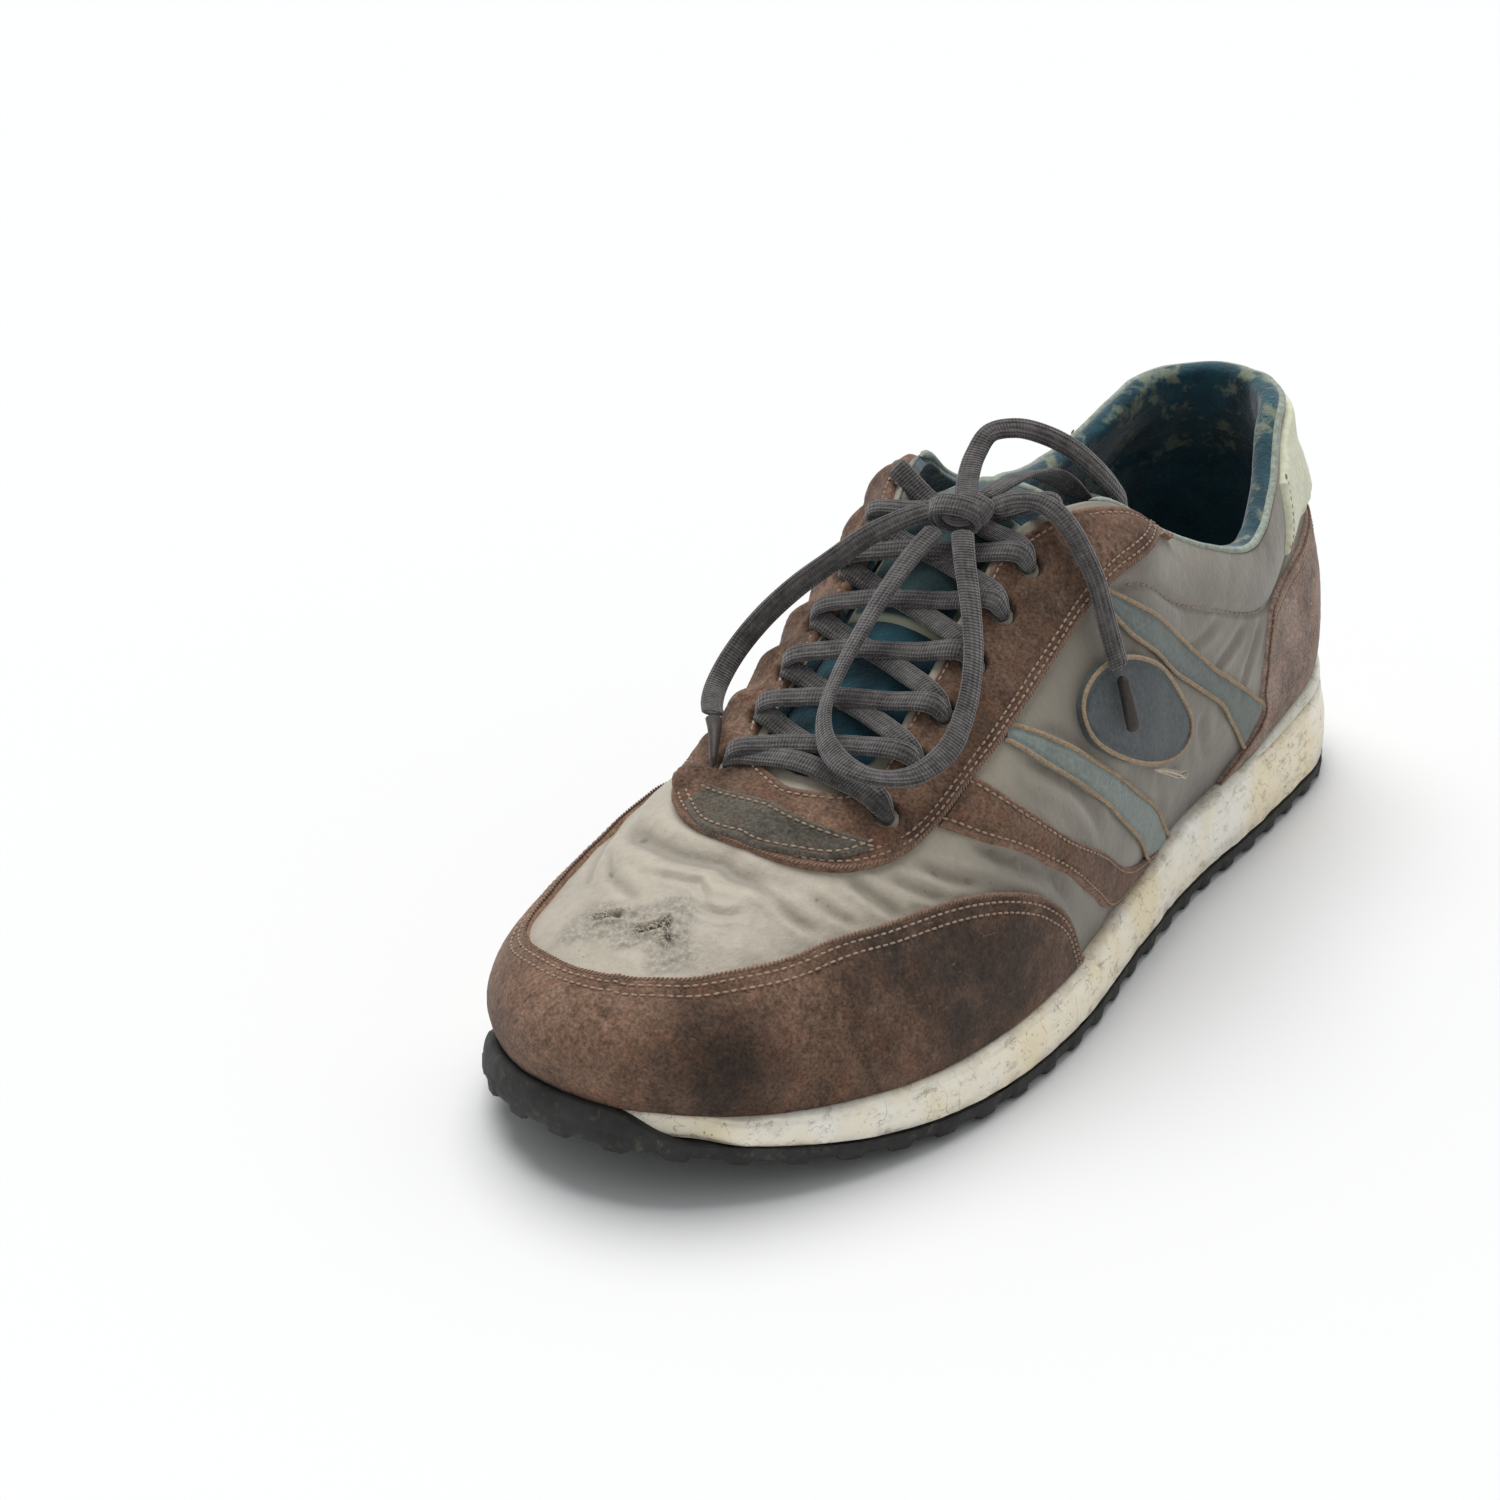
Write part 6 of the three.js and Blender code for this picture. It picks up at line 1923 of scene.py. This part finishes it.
def set_stage():
    scene = bpy.context.scene
    scene.view_settings.view_transform = "Standard"
    floor_mesh = bpy.data.meshes.new("floor")
    floor_mesh.from_pydata([(-6, -6, 0), (6, -6, 0), (6, 6, 0), (-6, 6, 0)], [], [(0, 1, 2, 3)])
    floor = bpy.data.objects.new("floor", floor_mesh)
    scene.collection.objects.link(floor)
    paper = Finish("Pale paper", roughness=0.95, specular=0.05)
    floor_mesh.materials.append(paper.done((0.81, 0.81, 0.81)))
    world = bpy.data.worlds.new("soft_room")
    world.use_nodes = True
    world.node_tree.nodes["Background"].inputs["Color"].default_value = (0.97, 0.985, 1.0, 1)
    world.node_tree.nodes["Background"].inputs["Strength"].default_value = scene.sneaker.room_light
    scene.world = world
    data = bpy.data.lights.new("overhead_light", "SUN")
    data.energy, data.angle = scene.sneaker.overhead_light, math.radians(48)
    light = bpy.data.objects.new("overhead_light", data)
    scene.collection.objects.link(light)
    aim(light, (-0.55, 0.5, 1.9), (0, 0, 0))


# ---------------------------------------------------------------- add-on

class SneakerSettings(bpy.types.PropertyGroup):
    lace_width: FloatProperty(name="Lace width", description="Width of the flat lace", default=0.0052,
                              min=0.003, max=0.009, unit="LENGTH")
    stitch_spacing: FloatProperty(name="Stitch spacing", description="From one seam stitch to the next",
                                  default=0.0019, min=0.001, max=0.006, unit="LENGTH")
    stitch_length: FloatProperty(name="Stitch length", description="Length of one seam stitch",
                                 default=0.00145, min=0.0005, max=0.005, unit="LENGTH")
    suede_colour: FloatVectorProperty(name="Suede", description="Mudguard, straps and heel leather", size=3,
                                      subtype="COLOR", default=tone(106, 84, 70), min=0, max=1)
    nylon_colour: FloatVectorProperty(name="Nylon", description="The upper's thin cloth", size=3,
                                      subtype="COLOR", default=tone(158, 150, 135), min=0, max=1)
    band_colour: FloatVectorProperty(name="Bands", description="The flat bands along the sides", size=3,
                                     subtype="COLOR", default=tone(130, 139, 134), min=0, max=1)
    lining_colour: FloatVectorProperty(name="Lining", description="Padded cloth inside the collar", size=3,
                                       subtype="COLOR", default=tone(27, 68, 80), min=0, max=1)
    thread_colour: FloatVectorProperty(name="Thread", description="Seam stitches", size=3,
                                       subtype="COLOR", default=tone(160, 136, 118), min=0, max=1)
    lace_colour: FloatVectorProperty(name="Lace", description="Laces and bow", size=3,
                                     subtype="COLOR", default=tone(82, 78, 77), min=0, max=1)
    foam_colour: FloatVectorProperty(name="Midsole stain", description="Yellowed patches of the midsole", size=3,
                                     subtype="COLOR", default=tone(252, 238, 205), min=0, max=1)
    rubber_colour: FloatVectorProperty(name="Rubber", description="Outsole and toe bumper", size=3,
                                       subtype="COLOR", default=tone(52, 53, 51), min=0, max=1)
    room_light: FloatProperty(name="Room light", description="Strength of the even light from all round",
                              default=0.47, min=0, max=5)
    overhead_light: FloatProperty(name="Overhead light", description="Strength of the wide light above",
                                  default=2.6, min=0, max=50)


class SNEAKER_OT_camera(bpy.types.Operator):
    """Set the camera"""
    bl_idname = "sneaker.camera"
    bl_label = "Camera"

    def execute(self, context):
        set_camera()
        return {"FINISHED"}


class SNEAKER_OT_laces(bpy.types.Operator):
    """Make the lace strands, the knot, the loops and the ends"""
    bl_idname = "sneaker.laces"
    bl_label = "Laces"

    def execute(self, context):
        free_laces()
        lace_bars()
        return {"FINISHED"}


class SNEAKER_OT_soles(bpy.types.Operator):
    """Make the outsole, midsole, heel wedge and insole"""
    bl_idname = "sneaker.soles"
    bl_label = "Soles"

    def execute(self, context):
        outsole()
        midsole()
        heel_wedge()
        insole()
        return {"FINISHED"}


class SNEAKER_OT_upper(bpy.types.Operator):
    """Make the nylon upper, its lining and its piping"""
    bl_idname = "sneaker.upper"
    bl_label = "Upper"

    def execute(self, context):
        nylon_upper()
        padded_lining()
        topline_piping()
        collar_seams()
        return {"FINISHED"}


class SNEAKER_OT_panels(bpy.types.Operator):
    """Lay the leather panels and their seams"""
    bl_idname = "sneaker.panels"
    bl_label = "Leather panels"

    def execute(self, context):
        leather_panels()
        return {"FINISHED"}


class SNEAKER_OT_bands(bpy.types.Operator):
    """Lay the side bands, the side patches and the frayed fibres"""
    bl_idname = "sneaker.bands"
    bl_label = "Side bands"

    def execute(self, context):
        side_bands()
        fray()
        return {"FINISHED"}


class SNEAKER_OT_tongue(bpy.types.Operator):
    """Make the padded tongue, its rim and its bare label"""
    bl_idname = "sneaker.tongue"
    bl_label = "Tongue"

    def execute(self, context):
        tongue()
        return {"FINISHED"}


class SNEAKER_OT_stage(bpy.types.Operator):
    """Lay the floor and set the lights"""
    bl_idname = "sneaker.stage"
    bl_label = "Stage"

    def execute(self, context):
        set_stage()
        return {"FINISHED"}


OPERATORS = (SNEAKER_OT_camera, SNEAKER_OT_laces, SNEAKER_OT_soles, SNEAKER_OT_upper, SNEAKER_OT_panels,
             SNEAKER_OT_bands, SNEAKER_OT_tongue, SNEAKER_OT_stage)


class SNEAKER_PT_panel(bpy.types.Panel):
    bl_label = "Sneaker"
    bl_idname = "SNEAKER_PT_panel"
    bl_space_type = "VIEW_3D"
    bl_region_type = "UI"
    bl_category = "Sneaker"

    def draw(self, context):
        for key in SneakerSettings.__annotations__:
            self.layout.prop(context.scene.sneaker, key)
        for operator in OPERATORS:
            self.layout.operator(operator.bl_idname)


def register():
    for cls in (SneakerSettings, *OPERATORS, SNEAKER_PT_panel):
        bpy.utils.register_class(cls)
    bpy.types.Scene.sneaker = PointerProperty(type=SneakerSettings)


def unregister():
    del bpy.types.Scene.sneaker
    for cls in (SNEAKER_PT_panel, *reversed(OPERATORS), SneakerSettings):
        bpy.utils.unregister_class(cls)


def main():
    register()
    for operator in OPERATORS:
        getattr(bpy.ops.sneaker, operator.bl_idname.split(".")[1])()


if __name__ == "__main__":
    main()
